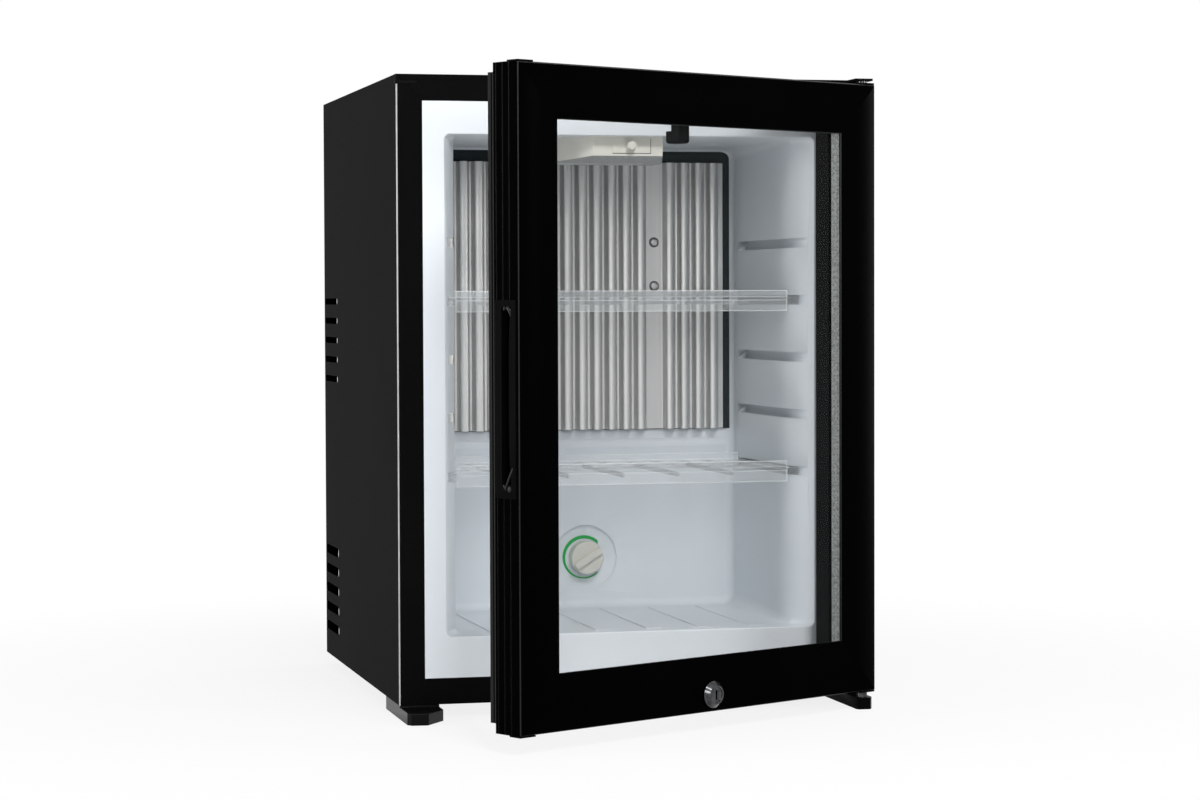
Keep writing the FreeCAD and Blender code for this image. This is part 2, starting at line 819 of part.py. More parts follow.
def thermostat_body():
    """The switch that the shaft turns, behind the dial recess."""
    z = bottom + dial_height
    y0 = cavity_back + dial_recess + liner_wall
    half = thermostat_width / 2
    body = box(dial_offset - half, dial_offset + half, y0, y0 + thermostat_depth, z - half, z + half)
    bore = rod(shaft_radius + shaft_running_gap, shaft_grip + face_gap, V(dial_offset, y0, z), Y_AXIS)
    return body.cut(bore)


def shaft_core():
    """The bore in the switch body, which the foam leaves open."""
    return rod(shaft_radius + knob_bore_gap, shaft_grip + face_gap + liner_wall,
               V(dial_offset, cavity_back + dial_recess, bottom + dial_height), Y_AXIS)


def thermostat_scale():
    """The tapering coloured arc round the knob."""
    z = bottom + dial_height
    y0 = cavity_back + dial_recess - scale_thickness
    outer = rod(scale_outer_radius, scale_thickness, V(dial_offset - scale_shift, y0, z), Y_AXIS)
    inner = rod(scale_inner_radius, scale_thickness,
                V(dial_offset - scale_inner_shift, y0, z - scale_inner_drop), Y_AXIS)
    side = box(dial_offset + scale_open_side, dial_offset + dial_radius, y0, y0 + scale_thickness,
               z - dial_radius, z + dial_radius)
    return outer.cut(inner).cut(side)


def capillary():
    """The sensing line: a thin tube up from the switch to a bulb behind the plate."""
    y = cavity_back + dial_recess + liner_wall + bulb_radius
    z0 = bottom + dial_height + thermostat_width / 2
    thin = rod(capillary_radius, capillary_length, V(dial_offset, y, z0), Z_AXIS)
    bulb = rod(bulb_radius, bulb_length, V(dial_offset, y, z0 + capillary_length), Z_AXIS)
    return fuse([thin, bulb])


# Lamp and switch


def lamp_form(inset):
    """The lamp housing's outer form, taken in by a wall on every side but the top."""
    x_left = -lamp_left_reach + inset
    x_right = lamp_face_half_width - inset
    x_face = -lamp_face_half_width + inset / 2
    y0 = lamp_front + inset
    y1 = lamp_back - inset
    shoulder = y0 + lamp_shoulder - inset / 2
    top_z = cavity_ceiling
    x_wide = x_right + lamp_right_flare
    plan = prism([(x_face, y0, 0), (x_right, y0, 0), (x_wide, y0 + lamp_flare_depth, 0), (x_wide, y1, 0),
                  (x_left, y1, 0), (x_left, shoulder, 0)], V(0, 0, top))
    low_front = top_z - lamp_face_height + inset
    low = top_z - lamp_belly + inset
    side = prism([(x_left, y0, top_z), (x_left, y0, low_front), (x_left, y0 + lamp_shoulder, low),
                  (x_left, y1, low), (x_left, y1, top_z)], V(x_wide - x_left, 0, 0))
    return side.common(plan)


def lamp_housing():
    """The cream housing that hangs from the cavity's ceiling."""
    shell = lamp_form(0).cut(lamp_form(lamp_wall))
    window = box(-lamp_left_reach + lens_margin, lamp_face_half_width - lens_margin,
                 lamp_front + lamp_shoulder + lens_margin, lamp_back - lens_margin,
                 cavity_ceiling - lamp_belly - cut, cavity_ceiling - lamp_belly + lamp_wall + cut)
    guide = rod(plunger_radius + plunger_gap + lamp_wall, guide_length,
                V(plunger_offset, lamp_front, plunger_z), Y_AXIS)
    bore = rod(plunger_radius + plunger_gap, guide_length + 2 * cut,
               V(plunger_offset, lamp_front - cut, plunger_z), Y_AXIS)
    return fuse([shell, guide]).cut(window).cut(bore)


def lamp_lens():
    """The frosted window in the housing's underside."""
    z0 = cavity_ceiling - lamp_belly
    return box(-lamp_left_reach + lens_margin, lamp_face_half_width - lens_margin,
               lamp_front + lamp_shoulder + lens_margin, lamp_back - lens_margin,
               z0, z0 + lens_thickness)


def lamp_board():
    """The lamp's board on the lens's rim with a row of light emitters."""
    z0 = cavity_ceiling - board_drop
    y0 = lamp_front + lamp_shoulder + 2 * lens_margin
    x0 = -lamp_left_reach + lamp_wall
    x1 = lamp_face_half_width - lamp_wall
    board = box(x0, x1, y0, y0 + board_depth, z0, z0 + lens_thickness)
    emitters = []
    for i in range(emitter_count):
        x = (x0 + x1) / 2 + (i + 0.5 - emitter_count / 2) * emitter_pitch
        emitters.append(box(x - emitter_size / 2, x + emitter_size / 2,
                            y0 + board_depth / 2 - emitter_size / 2, y0 + board_depth / 2 + emitter_size / 2,
                            z0 - emitter_height, z0))
    return fuse([board] + emitters)


def switch_frame():
    """The thin raised plate round the plunger."""
    x0 = plunger_offset + switch_frame_shift - switch_frame_width / 2
    plate = box(x0, x0 + switch_frame_width, lamp_front - switch_frame_proud, lamp_front,
                plunger_z - switch_frame_height / 2, plunger_z + switch_frame_height / 2)
    hole = rod(plunger_radius + plunger_gap, 2 * cut, V(plunger_offset, lamp_front - cut, plunger_z), Y_AXIS)
    return plate.cut(hole)


def switch_plunger():
    """The sprung pin that the closing door pushes in."""
    y0 = lamp_front - plunger_out
    pin = rod(plunger_radius, plunger_out + plunger_in, V(plunger_offset, y0, plunger_z), Y_AXIS)
    tip = [e for e in pin.Edges if abs(e.BoundBox.YMax - y0) < sheet and e.Length > plunger_radius]
    pin = pin.makeFillet(plunger_tip_radius, tip)
    seat = rod(spring_radius + spring_wire + plunger_gap, plunger_in / 2,
               V(plunger_offset, lamp_front + plunger_in / 2, plunger_z), Y_AXIS)
    return pin.cut(seat)


def switch_spring():
    """The coil that pushes the plunger out."""
    length = guide_length - plunger_in / 2 - 2 * spring_wire - 2 * spring_end_gap
    pitch = length / spring_turns
    helix = Part.makeHelix(pitch, length, spring_radius)
    section = Part.Wire([Part.makeCircle(spring_wire, V(spring_radius, 0, 0), Y_AXIS)])
    coil = Part.Wire(helix.Edges).makePipeShell([section], True, True)
    coil.rotate(ORIGIN, X_AXIS, -90)
    coil.translate(V(plunger_offset, lamp_front + plunger_in / 2 + spring_wire + spring_end_gap, plunger_z))
    return coil


def switch_stop():
    """The contact block at the guide's far end that the spring rests on."""
    y0 = lamp_front + guide_length
    return box(plunger_offset - stop_half, plunger_offset + stop_half, y0, y0 + stop_thickness,
               plunger_z - stop_half, cavity_ceiling)


# Door, drawn closed and then swung open

def swing(shape):
    """A piece of the closed door turned to the angle at which the door stands."""
    turned = shape.copy()
    turned.rotate(V(hinge_x, hinge_y, 0), Z_AXIS, door_open_angle)
    return turned


def edge_frame(u0, u1, w0, w1):
    """A rectangular ring of the door, between two insets from its edge and two depths."""
    y0 = door_front + w0
    y1 = door_front + w1
    ring = box(left + u0, right - u0, y0, y1, door_bottom + u0, door_top - u0)
    hole = box(left + u1, right - u1, y0 - cut, y1 + cut, door_bottom + u1, door_top - u1)
    return ring.cut(hole)


def rail_section(width):
    """The hollow frame profile as inset and depth points: an outer outline and its chamber."""
    web = rail_wall + chamber_width
    lip_back = rail_bevel_drop + rail_lip
    r = rail_edge_round
    k = r * (1 - math.sqrt(0.5))
    outline = [(0, r), (k, k), (r, 0), (rail_flat_width, 0), (width, rail_bevel_drop), (width, lip_back),
               (web + rail_wall, lip_back), (web + rail_wall, rail_front_depth), (0, rail_front_depth)]
    for w in reversed(rib_positions):
        outline.append((0, w + rib_width / 2))
        outline.append((rib_depth, w))
        outline.append((0, w - rib_width / 2))
    chamber = [(rail_wall, rail_wall), (web, rail_wall), (web, rail_front_depth - rail_wall),
               (rail_wall, rail_front_depth - rail_wall)]
    return outline, chamber


def mitred_rail(width, half_length, low_width, high_width):
    """One rail along X, its outer edge at zero height, its ends cut to meet rails of the two widths."""
    outline, chamber = rail_section(width)
    length = 2 * half_length
    bar = prism([(-half_length, w, u) for u, w in outline], V(length, 0, 0))
    hollow = prism([(-half_length - cut, w, u) for u, w in chamber], V(length + 2 * cut, 0, 0))
    bar = bar.cut(hollow)
    reach = 2 * width
    ends = []
    for side, other in ((-1, low_width), (1, high_width)):
        x = side * half_length
        slope = other / width
        ends.append(prism([(x, -cut, 0), (x + side * cut, -cut, 0), (x + side * cut, -cut, reach),
                           (x - side * reach * slope, -cut, reach)],
                          V(0, rail_front_depth + 2 * cut, 0)))
    return cut_all(bar, ends)


def place_rail(rail, angle, centre, lift):
    """A rail turned about Y into its place in the frame."""
    piece = rail.copy()
    piece.rotate(ORIGIN, Y_AXIS, angle)
    piece.translate(V(centre, door_front, lift))
    return piece


def insert_pocket(side):
    """The cut in a stile that its side insert drops into."""
    z0 = bottom + insert_bottom_height
    x0 = left - cut if side < 0 else right - rail_wall
    x1 = left + insert_reach if side < 0 else right + cut
    return box(x0, x1, door_front + rail_wall, door_front + insert_depth, z0, z0 + insert_height)


def left_stile():
    """The free side of the frame, cut for the handle."""
    half = (door_top - door_bottom) / 2
    rail = mitred_rail(stile_width, half, top_rail_width, bottom_rail_width)
    return swing(place_rail(rail, 90, left, (door_top + door_bottom) / 2).cut(insert_pocket(-1)))


def right_stile():
    """The hinge side of the frame."""
    half = (door_top - door_bottom) / 2
    rail = mitred_rail(stile_width, half, bottom_rail_width, top_rail_width)
    piece = place_rail(rail, -90, right, (door_top + door_bottom) / 2)
    return swing(piece.cut(insert_pocket(1)))


def bush_hole(x, z_edge, direction):
    """The round hole in a rail's edge wall for a hinge bush."""
    start = V(x, hinge_y, z_edge - direction * cut)
    return rod(bush_radius, 2 * cut + bush_length, start, Z_AXIS * direction)


def top_rail():
    """The upper rail, holed for a bush at each end."""
    rail = mitred_rail(top_rail_width, cabinet_width / 2, stile_width, stile_width)
    piece = place_rail(rail, 180, 0, door_top)
    return swing(cut_all(piece, [bush_hole(hinge_x, door_top, -1), bush_hole(-hinge_x, door_top, -1)]))


def bottom_rail():
    """The lower rail, holed for the bushes, the lock and its cam."""
    rail = mitred_rail(bottom_rail_width, cabinet_width / 2, stile_width, stile_width)
    piece = place_rail(rail, 0, 0, door_bottom)
    barrel = rod(lock_radius, rail_wall + 2 * cut, V(lock_offset, door_front - cut, lock_z), Y_AXIS)
    cam_slot = box(lock_offset - cam_width / 2 - strike_slack, lock_offset + cam_length,
                   cam_y - cam_side_gap, cam_y + cam_thickness + cam_side_gap,
                   door_bottom - cut, door_bottom + rail_wall + cut)
    return swing(cut_all(piece, [bush_hole(hinge_x, door_bottom, 1), bush_hole(-hinge_x, door_bottom, 1),
                                 barrel, cam_slot]))


def glass_pane(depth):
    """A sheet of the double glazing at a depth behind the door's face."""
    pane = box(left + pane_edge, right - pane_edge, door_front + depth, door_front + depth + pane_thickness,
               door_bottom + pane_edge, door_top - pane_edge)
    return swing(pane)


def glass_spacer():
    """The perforated bar that keeps the two panes apart all round."""
    ring = edge_frame(pane_edge, pane_edge + spacer_width, pane_front + pane_thickness, pane_back)
    groove = edge_frame(pane_edge - cut, pane_edge + spacer_groove,
                        pane_front + pane_thickness + spacer_groove, pane_back - spacer_groove)
    return swing(ring.cut(groove))


def inner_frame():
    """The plastic frame behind the glass that closes the rails and carries the gasket."""
    plate = edge_frame(inner_inset, inner_frame_edge, rail_front_depth, door_depth)
    collar = edge_frame(inner_frame_edge - collar_width, inner_frame_edge, pane_back + pane_thickness,
                        rail_front_depth)
    groove = edge_frame(dart_edge, dart_edge + dart_width, door_depth - dart_depth, door_depth + cut)
    return swing(fuse([plate, collar]).cut(groove))


def door_gasket():
    """The soft magnetic gasket: a dart, a base, a folding neck and a hollow head."""
    end = door_depth + gasket_reach - gasket_slack
    base = edge_frame(gasket_edge, gasket_edge + gasket_width, door_depth, door_depth + gasket_base)
    neck = edge_frame(gasket_edge + gasket_neck_inset, gasket_edge + gasket_width - gasket_neck_inset,
                      door_depth + gasket_base, end - gasket_head)
    head = edge_frame(gasket_edge, gasket_edge + gasket_width, end - gasket_head, end)
    dart = edge_frame(dart_edge, dart_edge + dart_width, door_depth - dart_depth, door_depth)
    hollow = edge_frame(gasket_edge + magnet_inset, gasket_edge + gasket_width - magnet_inset,
                        end - gasket_head + magnet_wall, end - magnet_wall)
    return swing(fuse([base, neck, head, dart]).cut(hollow))


def gasket_magnets():
    """The magnetic strip inside the gasket's head."""
    end = door_depth + gasket_reach - gasket_slack
    strip = edge_frame(gasket_edge + magnet_inset, gasket_edge + gasket_width - magnet_inset,
                       end - gasket_head + magnet_wall, end - magnet_wall)
    return swing(strip)


def handle_insert():
    """The handle: a block let into the free stile, with a finger recess behind a grip."""
    z0 = bottom + insert_bottom_height
    z1 = z0 + insert_height
    block = box(left - insert_proud, left + insert_reach,
                door_front + rail_wall, door_front + insert_depth, z0, z1)
    edges = [e for e in block.Edges if abs(e.BoundBox.XMax - (left - insert_proud)) < sheet
             and e.BoundBox.ZLength > insert_height / 2]
    block = block.makeFillet(insert_edge_radius, edges)
    r0 = z0 + recess_bottom_margin
    r1 = z1 - recess_top_margin
    x0 = left - insert_proud - cut
    outline = [(x0, door_front + recess_back, r1), (x0, door_front + recess_back, r0)]
    for i in range(grip_steps + 1):
        share = i / grip_steps
        w = recess_front - grip_bulge * (2 * share - 1) ** grip_power
        outline.append((x0, door_front + w, r0 + (r1 - r0) * share))
    mouth = prism(outline, V(cut + insert_proud + insert_reach - insert_wall, 0, 0))
    under = box(left + undercut_start, left + insert_reach - insert_wall, door_front + undercut_front,
                door_front + recess_back, r0, r1)
    return swing(block.cut(mouth).cut(under))


def hinge_side_insert():
    """The plain cover in the hinge stile, where the handle goes on a door hung the other way."""
    z0 = bottom + insert_bottom_height
    plate = box(right - rail_wall, right + insert_proud, door_front + rail_wall, door_front + insert_depth,
                z0, z0 + insert_height)
    edges = [e for e in plate.Edges if abs(e.BoundBox.XMin - (right + insert_proud)) < sheet]
    return swing(plate.makeFillet(cover_edge_radius, edges))


def bush(x, z_edge, direction, bored):
    """A corner bush: a flat head outside the rail and a barrel inside it."""
    head = box(x - bush_head_width / 2, x + bush_head_width / 2, hinge_y - bush_head_depth / 2,
               hinge_y + bush_head_depth / 2, min(z_edge, z_edge + direction * bush_head_height),
               max(z_edge, z_edge + direction * bush_head_height))
    barrel = rod(bush_radius, bush_length, V(x, hinge_y, z_edge), Z_AXIS * -direction)
    piece = fuse([head, barrel])
    if bored:
        bore = rod(pin_radius + pin_running_gap, bush_length + bush_head_height + 2 * cut,
                   V(x, hinge_y, z_edge + direction * (bush_head_height + cut)), Z_AXIS * -direction)
        piece = piece.cut(bore)
    return swing(piece)


def hinge_bushes():
    """The two bored bushes that the pins run in."""
    return [bush(hinge_x, door_bottom, -1, True), bush(hinge_x, door_top, 1, True)]


def corner_caps():
    """The two blind bushes in the unused corners."""
    return [bush(-hinge_x, door_bottom, -1, False), bush(-hinge_x, door_top, 1, False)]


def switch_tab():
    """The bent tongue on the inner frame that meets the lamp switch as the door shuts."""
    y0 = door_front + rail_front_depth + tab_thickness
    z_top = door_top - inner_frame_edge
    z_low = plunger_z - plunger_radius
    y_nose = lamp_front - plunger_out - face_gap
    x0 = plunger_offset - tab_left_reach
    x1 = plunger_offset + tab_right_reach
    tongue = box(x0, x1, y0, front - tab_front_gap, z_low, z_top)
    nose = box(x0, x1, y0, y_nose, z_low, z_low + tab_nose_height)
    tab = tongue.fuse(nose).removeSplitter()
    lower = [e for e in tab.Edges if abs(e.BoundBox.ZMax - z_low) < sheet]
    return swing(tab.makeFillet(tab_thickness, lower))


# Lock in the bottom rail

def lock_sleeve():
    """The chromed body: a stepped collar outside the rail and a barrel inside it."""
    y = door_front
    parts = [rod(lock_flange_radius, lock_flange_height,
                 V(lock_offset, y - lock_flange_height, lock_z), Y_AXIS),
             Part.makeCone(lock_face_radius, lock_flange_radius, lock_face_height - lock_flange_height,
                           V(lock_offset, y - lock_face_height, lock_z), Y_AXIS),
             rod(lock_radius, lock_barrel_length - face_gap, V(lock_offset, y, lock_z), Y_AXIS)]
    bore = rod(lock_plug_radius + lock_plug_gap, lock_face_height + lock_barrel_length + 2 * cut,
               V(lock_offset, y - lock_face_height - cut, lock_z), Y_AXIS)
    return swing(fuse(parts).cut(bore))


def lock_plug():
    """The part that the key turns, with its keyway."""
    y = door_front - lock_face_height + keyway_recess
    body = rod(lock_plug_radius, cam_y - y, V(lock_offset, y, lock_z), Y_AXIS)
    keyway = box(lock_offset - keyway_width / 2, lock_offset + keyway_width / 2, y - cut, y + keyway_depth,
                 lock_z - keyway_height / 2, lock_z + keyway_height / 2)
    return swing(body.cut(keyway))


def lock_cam():
    """The arm on the plug's end, shown unlocked, lying along the rail."""
    arm = box(lock_offset, lock_offset + cam_length - cam_width / 2, cam_y, cam_y + cam_thickness,
              lock_z - cam_width / 2, lock_z + cam_width / 2)
    tip_centre = V(lock_offset + cam_length - cam_width / 2, cam_y, lock_z)
    tip = rod(cam_width / 2, cam_thickness, tip_centre, Y_AXIS)
    hub = rod(lock_plug_radius, cam_thickness, V(lock_offset, cam_y, lock_z), Y_AXIS)
    hole = rod(screw_radius, cam_thickness + 2 * cut, V(lock_offset, cam_y - cut, lock_z), Y_AXIS)
    return swing(fuse([arm, tip, hub]).cut(hole))


def cam_screw():
    """The screw that holds the cam on the plug."""
    head = rod(screw_head_radius, cam_screw_head, V(lock_offset, cam_y + cam_thickness, lock_z), Y_AXIS)
    shank = rod(screw_radius, cam_thickness, V(lock_offset, cam_y, lock_z), Y_AXIS)
    return swing(fuse([head, shank]))


def lock_nut():
    """The nut that clamps the lock to the rail's front wall."""
    points = []
    for i in range(nut_sides):
        a = 2 * math.pi * i / nut_sides
        points.append((lock_offset + nut_radius * math.cos(a), door_front + rail_wall,
                       lock_z + nut_radius * math.sin(a)))
    nut = prism(points, V(0, nut_height, 0))
    bore_start = V(lock_offset, door_front + rail_wall - cut, lock_z)
    return swing(nut.cut(rod(lock_radius, nut_height + 2 * cut, bore_start, Y_AXIS)))


def lock_strike():
    """The slotted plate under the base's front edge that the cam drops into."""
    plate = box(lock_offset - strike_width / 2, lock_offset + strike_width / 2, front - strike_reach,
                front + strike_grip, bottom - strike_thickness, bottom)
    z0 = bottom - strike_thickness - cut
    slot = box(lock_offset - cam_width / 2 - strike_slack, lock_offset + cam_length - cam_width / 2,
               cam_y - strike_slack, cam_y + cam_thickness + strike_slack, z0, bottom + cut)
    holes = [rod(screw_radius, strike_thickness + 2 * cut, V(x, front + strike_grip / 2, z0), Z_AXIS)
             for x in strike_screw_places]
    return cut_all(plate, [slot] + holes)


def case_screws():
    """The screws of the strike plate, the two front feet and the upper hinge plate."""
    screws = [screw(screw_radius, base_screw_length, screw_head_radius, screw_head_height,
                    V(x, front + strike_grip / 2, bottom - strike_thickness), Z_AXIS)
              for x in strike_screw_places]
    screws += [screw(screw_radius, floor_gap + base_screw_length - foot_screw_recess, screw_head_radius,
                     screw_head_height, V(x, foot_screw_y, foot_screw_recess), Z_AXIS)
               for x in (left_foot_screw_x, hinge_foot_screw_x)]
    screws += [rod(screw_radius, sheet + plate_sheet + face_gap, V(x, front, leg_screw_height), Y_AXIS)
               for x in leg_screw_places]
    return screws


# Feet and hinges

def foot_outline(points, z0, z1):
    """A foot's plan carried up between two heights."""
    return prism([(x, y, z0) for x, y in points], V(0, 0, z1 - z0))


def left_foot():
    """The wide front foot on the handle side, chamfered at its nose."""
    x0 = left + foot_side_inset
    x1 = x0 + left_foot_width
    y1 = front + foot_rear_start
    nose = hinge_y - foot_nose
    chamfer = left_foot_chamfer
    plan = [(x0, y1 - chamfer), (x0, nose + chamfer), (x0 + chamfer / 2, nose + chamfer / 4),
            (x0 + left_foot_width / 2, nose), (x1, nose + left_foot_slant), (x1, y1), (x0 + chamfer, y1)]
    body = foot_outline(plan, 0, floor_gap)
    lower = box(x0 - cut, x1 + cut, nose - cut, front, floor_gap - foot_front_drop, floor_gap + cut)
    return body.cut(lower).cut(foot_screw_hole(left_foot_screw_x))


def hinge_foot():
    """The narrow front foot on the hinge side, which carries the lower pin."""
    x1 = right - foot_side_inset
    x0 = x1 - hinge_foot_width
    y1 = front + foot_rear_start
    nose = hinge_y - foot_nose
    chamfer = hinge_foot_chamfer
    plan = [(x0, y1), (x0, nose + chamfer), (x0 + chamfer / 2, nose), (x1 - chamfer, nose),
            (x1, nose + 2 * chamfer), (x1, y1)]
    body = foot_outline(plan, 0, floor_gap)
    lower = box(x0 - cut, x1 + cut, nose - cut, front, floor_gap - foot_front_drop, floor_gap + cut)
    pin_seat = rod(pin_radius, floor_gap, V(hinge_x, hinge_y, foot_pin_floor), Z_AXIS)
    return body.cut(lower).cut(pin_seat).cut(foot_screw_hole(hinge_foot_screw_x))


def foot_screw_hole(x):
    """The stepped hole for a foot's screw, from below."""
    shank = rod(screw_radius, floor_gap + 2 * cut, V(x, foot_screw_y, -cut), Z_AXIS)
    head = rod(screw_head_radius + face_gap, foot_screw_recess + cut, V(x, foot_screw_y, -cut), Z_AXIS)
    return shank.fuse(head)


def rear_feet():
    """The two round rear feet."""
    feet = []
    for x in (left + rear_foot_inset, right - rear_foot_inset):
        foot = rod(rear_foot_radius, floor_gap, V(x, back - rear_foot_inset, 0), Z_AXIS)
        lower = [e for e in foot.Edges if e.BoundBox.ZMax < sheet and e.Length > rear_foot_radius]
        feet.append(foot.makeFillet(rear_foot_round, lower))
    return feet


def lower_hinge_pin():
    """The chromed pin in the hinge foot, with the collar that the door stands on."""
    z0 = foot_pin_floor
    z1 = floor_gap - foot_front_drop
    z2 = door_bottom - bush_head_height - face_gap
    return fuse([rod(pin_radius, z2 - z0 + pin_engagement, V(hinge_x, hinge_y, z0), Z_AXIS),
                 rod(pin_collar_radius, z2 - z1, V(hinge_x, hinge_y, z1), Z_AXIS)])


def upper_hinge_plate():
    """The cranked plate: a leg inside the flange, a tongue out of its slot and over the door."""
    z0 = slot_bottom + slot_gap
    z1 = z0 + plate_sheet
    tongue_end = hinge_y - foot_nose
    y_in = front + sheet
    y_step = front - plate_start
    profile = [(y_in, z0), (y_in, z0 - plate_leg), (y_in + plate_sheet, z0 - plate_leg),
               (y_in + plate_sheet, z1), (y_step + plate_sheet / 2, z1),
               (y_step + plate_sheet / 2 - plate_step, z1 + plate_rise),
               (tongue_end, z1 + plate_rise), (tongue_end, z0 + plate_rise),
               (y_step - plate_step, z0 + plate_rise), (y_step, z0)]
    x0 = hinge_x - tongue_half
    plate = prism([(x0, y, z) for y, z in profile], V(2 * tongue_half, 0, 0))
    hole = rod(pin_radius, 2 * cut + plate_sheet, V(hinge_x, hinge_y, z0 + plate_rise - cut), Z_AXIS)
    screws = [rod(screw_radius, plate_sheet + 2 * cut, V(x, y_in - cut, leg_screw_height), Y_AXIS)
              for x in leg_screw_places]
    return cut_all(plate, [hole] + screws)


def upper_hinge_pin():
    """The chromed pin that hangs from the plate into the door's top."""
    z1 = tongue_bottom
    z0 = door_top + bush_head_height + face_gap
    length = plate_sheet + z1 - z0 + pin_engagement
    return fuse([rod(pin_radius, length, V(hinge_x, hinge_y, z0 - pin_engagement), Z_AXIS),
                 rod(pin_collar_radius, z1 - z0, V(hinge_x, hinge_y, z0), Z_AXIS)])


def slot_cap():
    """The plug in the unused hinge slot."""
    return box(-hinge_x - plate_half, -hinge_x + plate_half, front + cap_sink, front + sheet + plate_sheet,
               slot_bottom, slot_top)


# Shelves

def shelf(level):
    """A clear shelf: a slotted plate with an apron, a rear lip, ribs and side rails."""
    z_rail = groove_z(level) + groove_clearance
    z0 = z_rail + shelf_rail_height - shelf_plate
    z1 = z0 + shelf_plate
    y0 = front + shelf_setback
    y1 = y0 + shelf_depth
    half = cavity_half_width - cavity_draft - shelf_side_gap + shelf_side_gap / 2
    plate = box(-half, half, y0, y1, z0, z1)
    apron = box(-half, half, y0, y0 + shelf_apron_thickness, z1 - shelf_apron_down, z1 + shelf_apron_up)
    lip = box(-half, half, y1 - shelf_apron_thickness, y1, z0, z1 + shelf_apron_up)
    reach = cavity_half_width + groove_depth - shelf_rail_gap
    rails = [box(-reach, -half + shelf_plate, y0 + shelf_rail_start, y1, z_rail, z1),
             box(half - shelf_plate, reach, y0 + shelf_rail_start, y1, z_rail, z1)]
    ribs = []
    slots = []
    bay = 2 * half / (shelf_rib_count + 1)
    for i in range(shelf_rib_count):
        x = -half + bay * (i + 1)
        ribs.append(box(x - shelf_rib_width / 2, x + shelf_rib_width / 2, y0, y1, z0 - shelf_rib_height, z0))
    row = (shelf_depth - 2 * shelf_margin) / shelf_slot_rows
    for i in range(shelf_rib_count + 1):
        x = -half + bay * (i + 0.5)
        for j in range(shelf_slot_rows):
            y = y0 + shelf_margin + row * j
            for k in (-1, 1):
                xc = x + k * bay / 4
                slots.append(box(xc - shelf_slot_width / 2, xc + shelf_slot_width / 2,
                                 y + row * shelf_slot_margin_share, y + row * (1 - shelf_slot_margin_share),
                                 z0 - cut, z1 + cut))
    return cut_all(fuse([plate, apron, lip] + rails + ribs), slots)


# Cooling unit


def boiler_jacket():
    """The insulated can round the generator."""
    can = rod(boiler_radius, boiler_height, V(boiler_x, unit_y, boiler_bottom), Z_AXIS)
    inside = rod(boiler_radius - can_wall, boiler_height - 2 * can_wall,
                 V(boiler_x, unit_y, boiler_bottom + can_wall), Z_AXIS)
    sleeve_x = boiler_x + boiler_radius / 2
    start = V(sleeve_x, unit_y, boiler_bottom)
    sleeve = rod(heater_radius + can_wall, heater_length / 2 + can_wall, start, Z_AXIS)
    socket = rod(heater_radius, heater_length / 2, start, Z_AXIS)
    return can.cut(inside.cut(sleeve)).cut(socket)


def heater_cartridge():
    """The electric heater pushed up into the can."""
    start = V(boiler_x + boiler_radius / 2, unit_y, boiler_bottom - heater_length / 2)
    return rod(heater_radius, heater_length, start, Z_AXIS)


def condenser():
    """The rising tube, the finned run across the top and the block that the cold tube leaves from."""
    route = tube_route([V(boiler_x, unit_y, boiler_top), V(boiler_x, unit_y, condenser_z),
                        V(condenser_x, unit_y, condenser_z),
                        V(condenser_x, unit_y, evaporator_tube_z)], tube_radius, tube_bend)
    fins = []
    start = -(fin_count - 1) * fin_pitch / 2
    for i in range(fin_count):
        x = start + i * fin_pitch
        fins.append(box(x, x + fin_sheet, unit_y - fin_width / 2, unit_y + fin_width / 2,
                        condenser_z - fin_height / 2, condenser_z + fin_height / 2))
    joint = box(evaporator_tube_ends[1] - tube_radius, condenser_x + tube_radius, bulkhead + 2 * tube_radius,
                unit_y + tube_radius, evaporator_tube_z - tube_radius - bracket_width / 2,
                evaporator_tube_z + tube_radius)
    return fuse([route] + fins + [joint])


def absorber_coil():
    """The level runs of tube, joined by half turns at alternate ends."""
    parts = []
    for i in range(coil_runs):
        z = coil_bottom + i * coil_pitch
        parts.append(rod(tube_radius, coil_right - coil_left, V(coil_left, unit_y, z), X_AXIS))
    for i in range(coil_runs - 1):
        z = coil_bottom + i * coil_pitch
        side = 1 if i % 2 == 0 else -1
        x = coil_right if side > 0 else coil_left
        middle = V(x + side * coil_pitch / 2, unit_y, z + coil_pitch / 2)
        parts.append(bend(tube_radius, V(x, unit_y, z), middle, V(x, unit_y, z + coil_pitch)))
    riser_x = evaporator_tube_ends[0]
    riser_length = evaporator_tube_z - coil_top + tube_radius
    parts.append(rod(exchanger_radius, riser_length, V(riser_x, unit_y, coil_top), Z_AXIS))
    parts.append(rod(tube_radius, unit_y + tube_radius - bulkhead - 2 * tube_radius,
                     V(riser_x, bulkhead + 2 * tube_radius, evaporator_tube_z), Y_AXIS))
    parts.append(rod(exchanger_radius, coil_bottom - vessel_z - vessel_radius + face_gap,
                     V(coil_left + coil_pitch, unit_y, vessel_z + vessel_radius - face_gap), Z_AXIS))
    return fuse(parts)


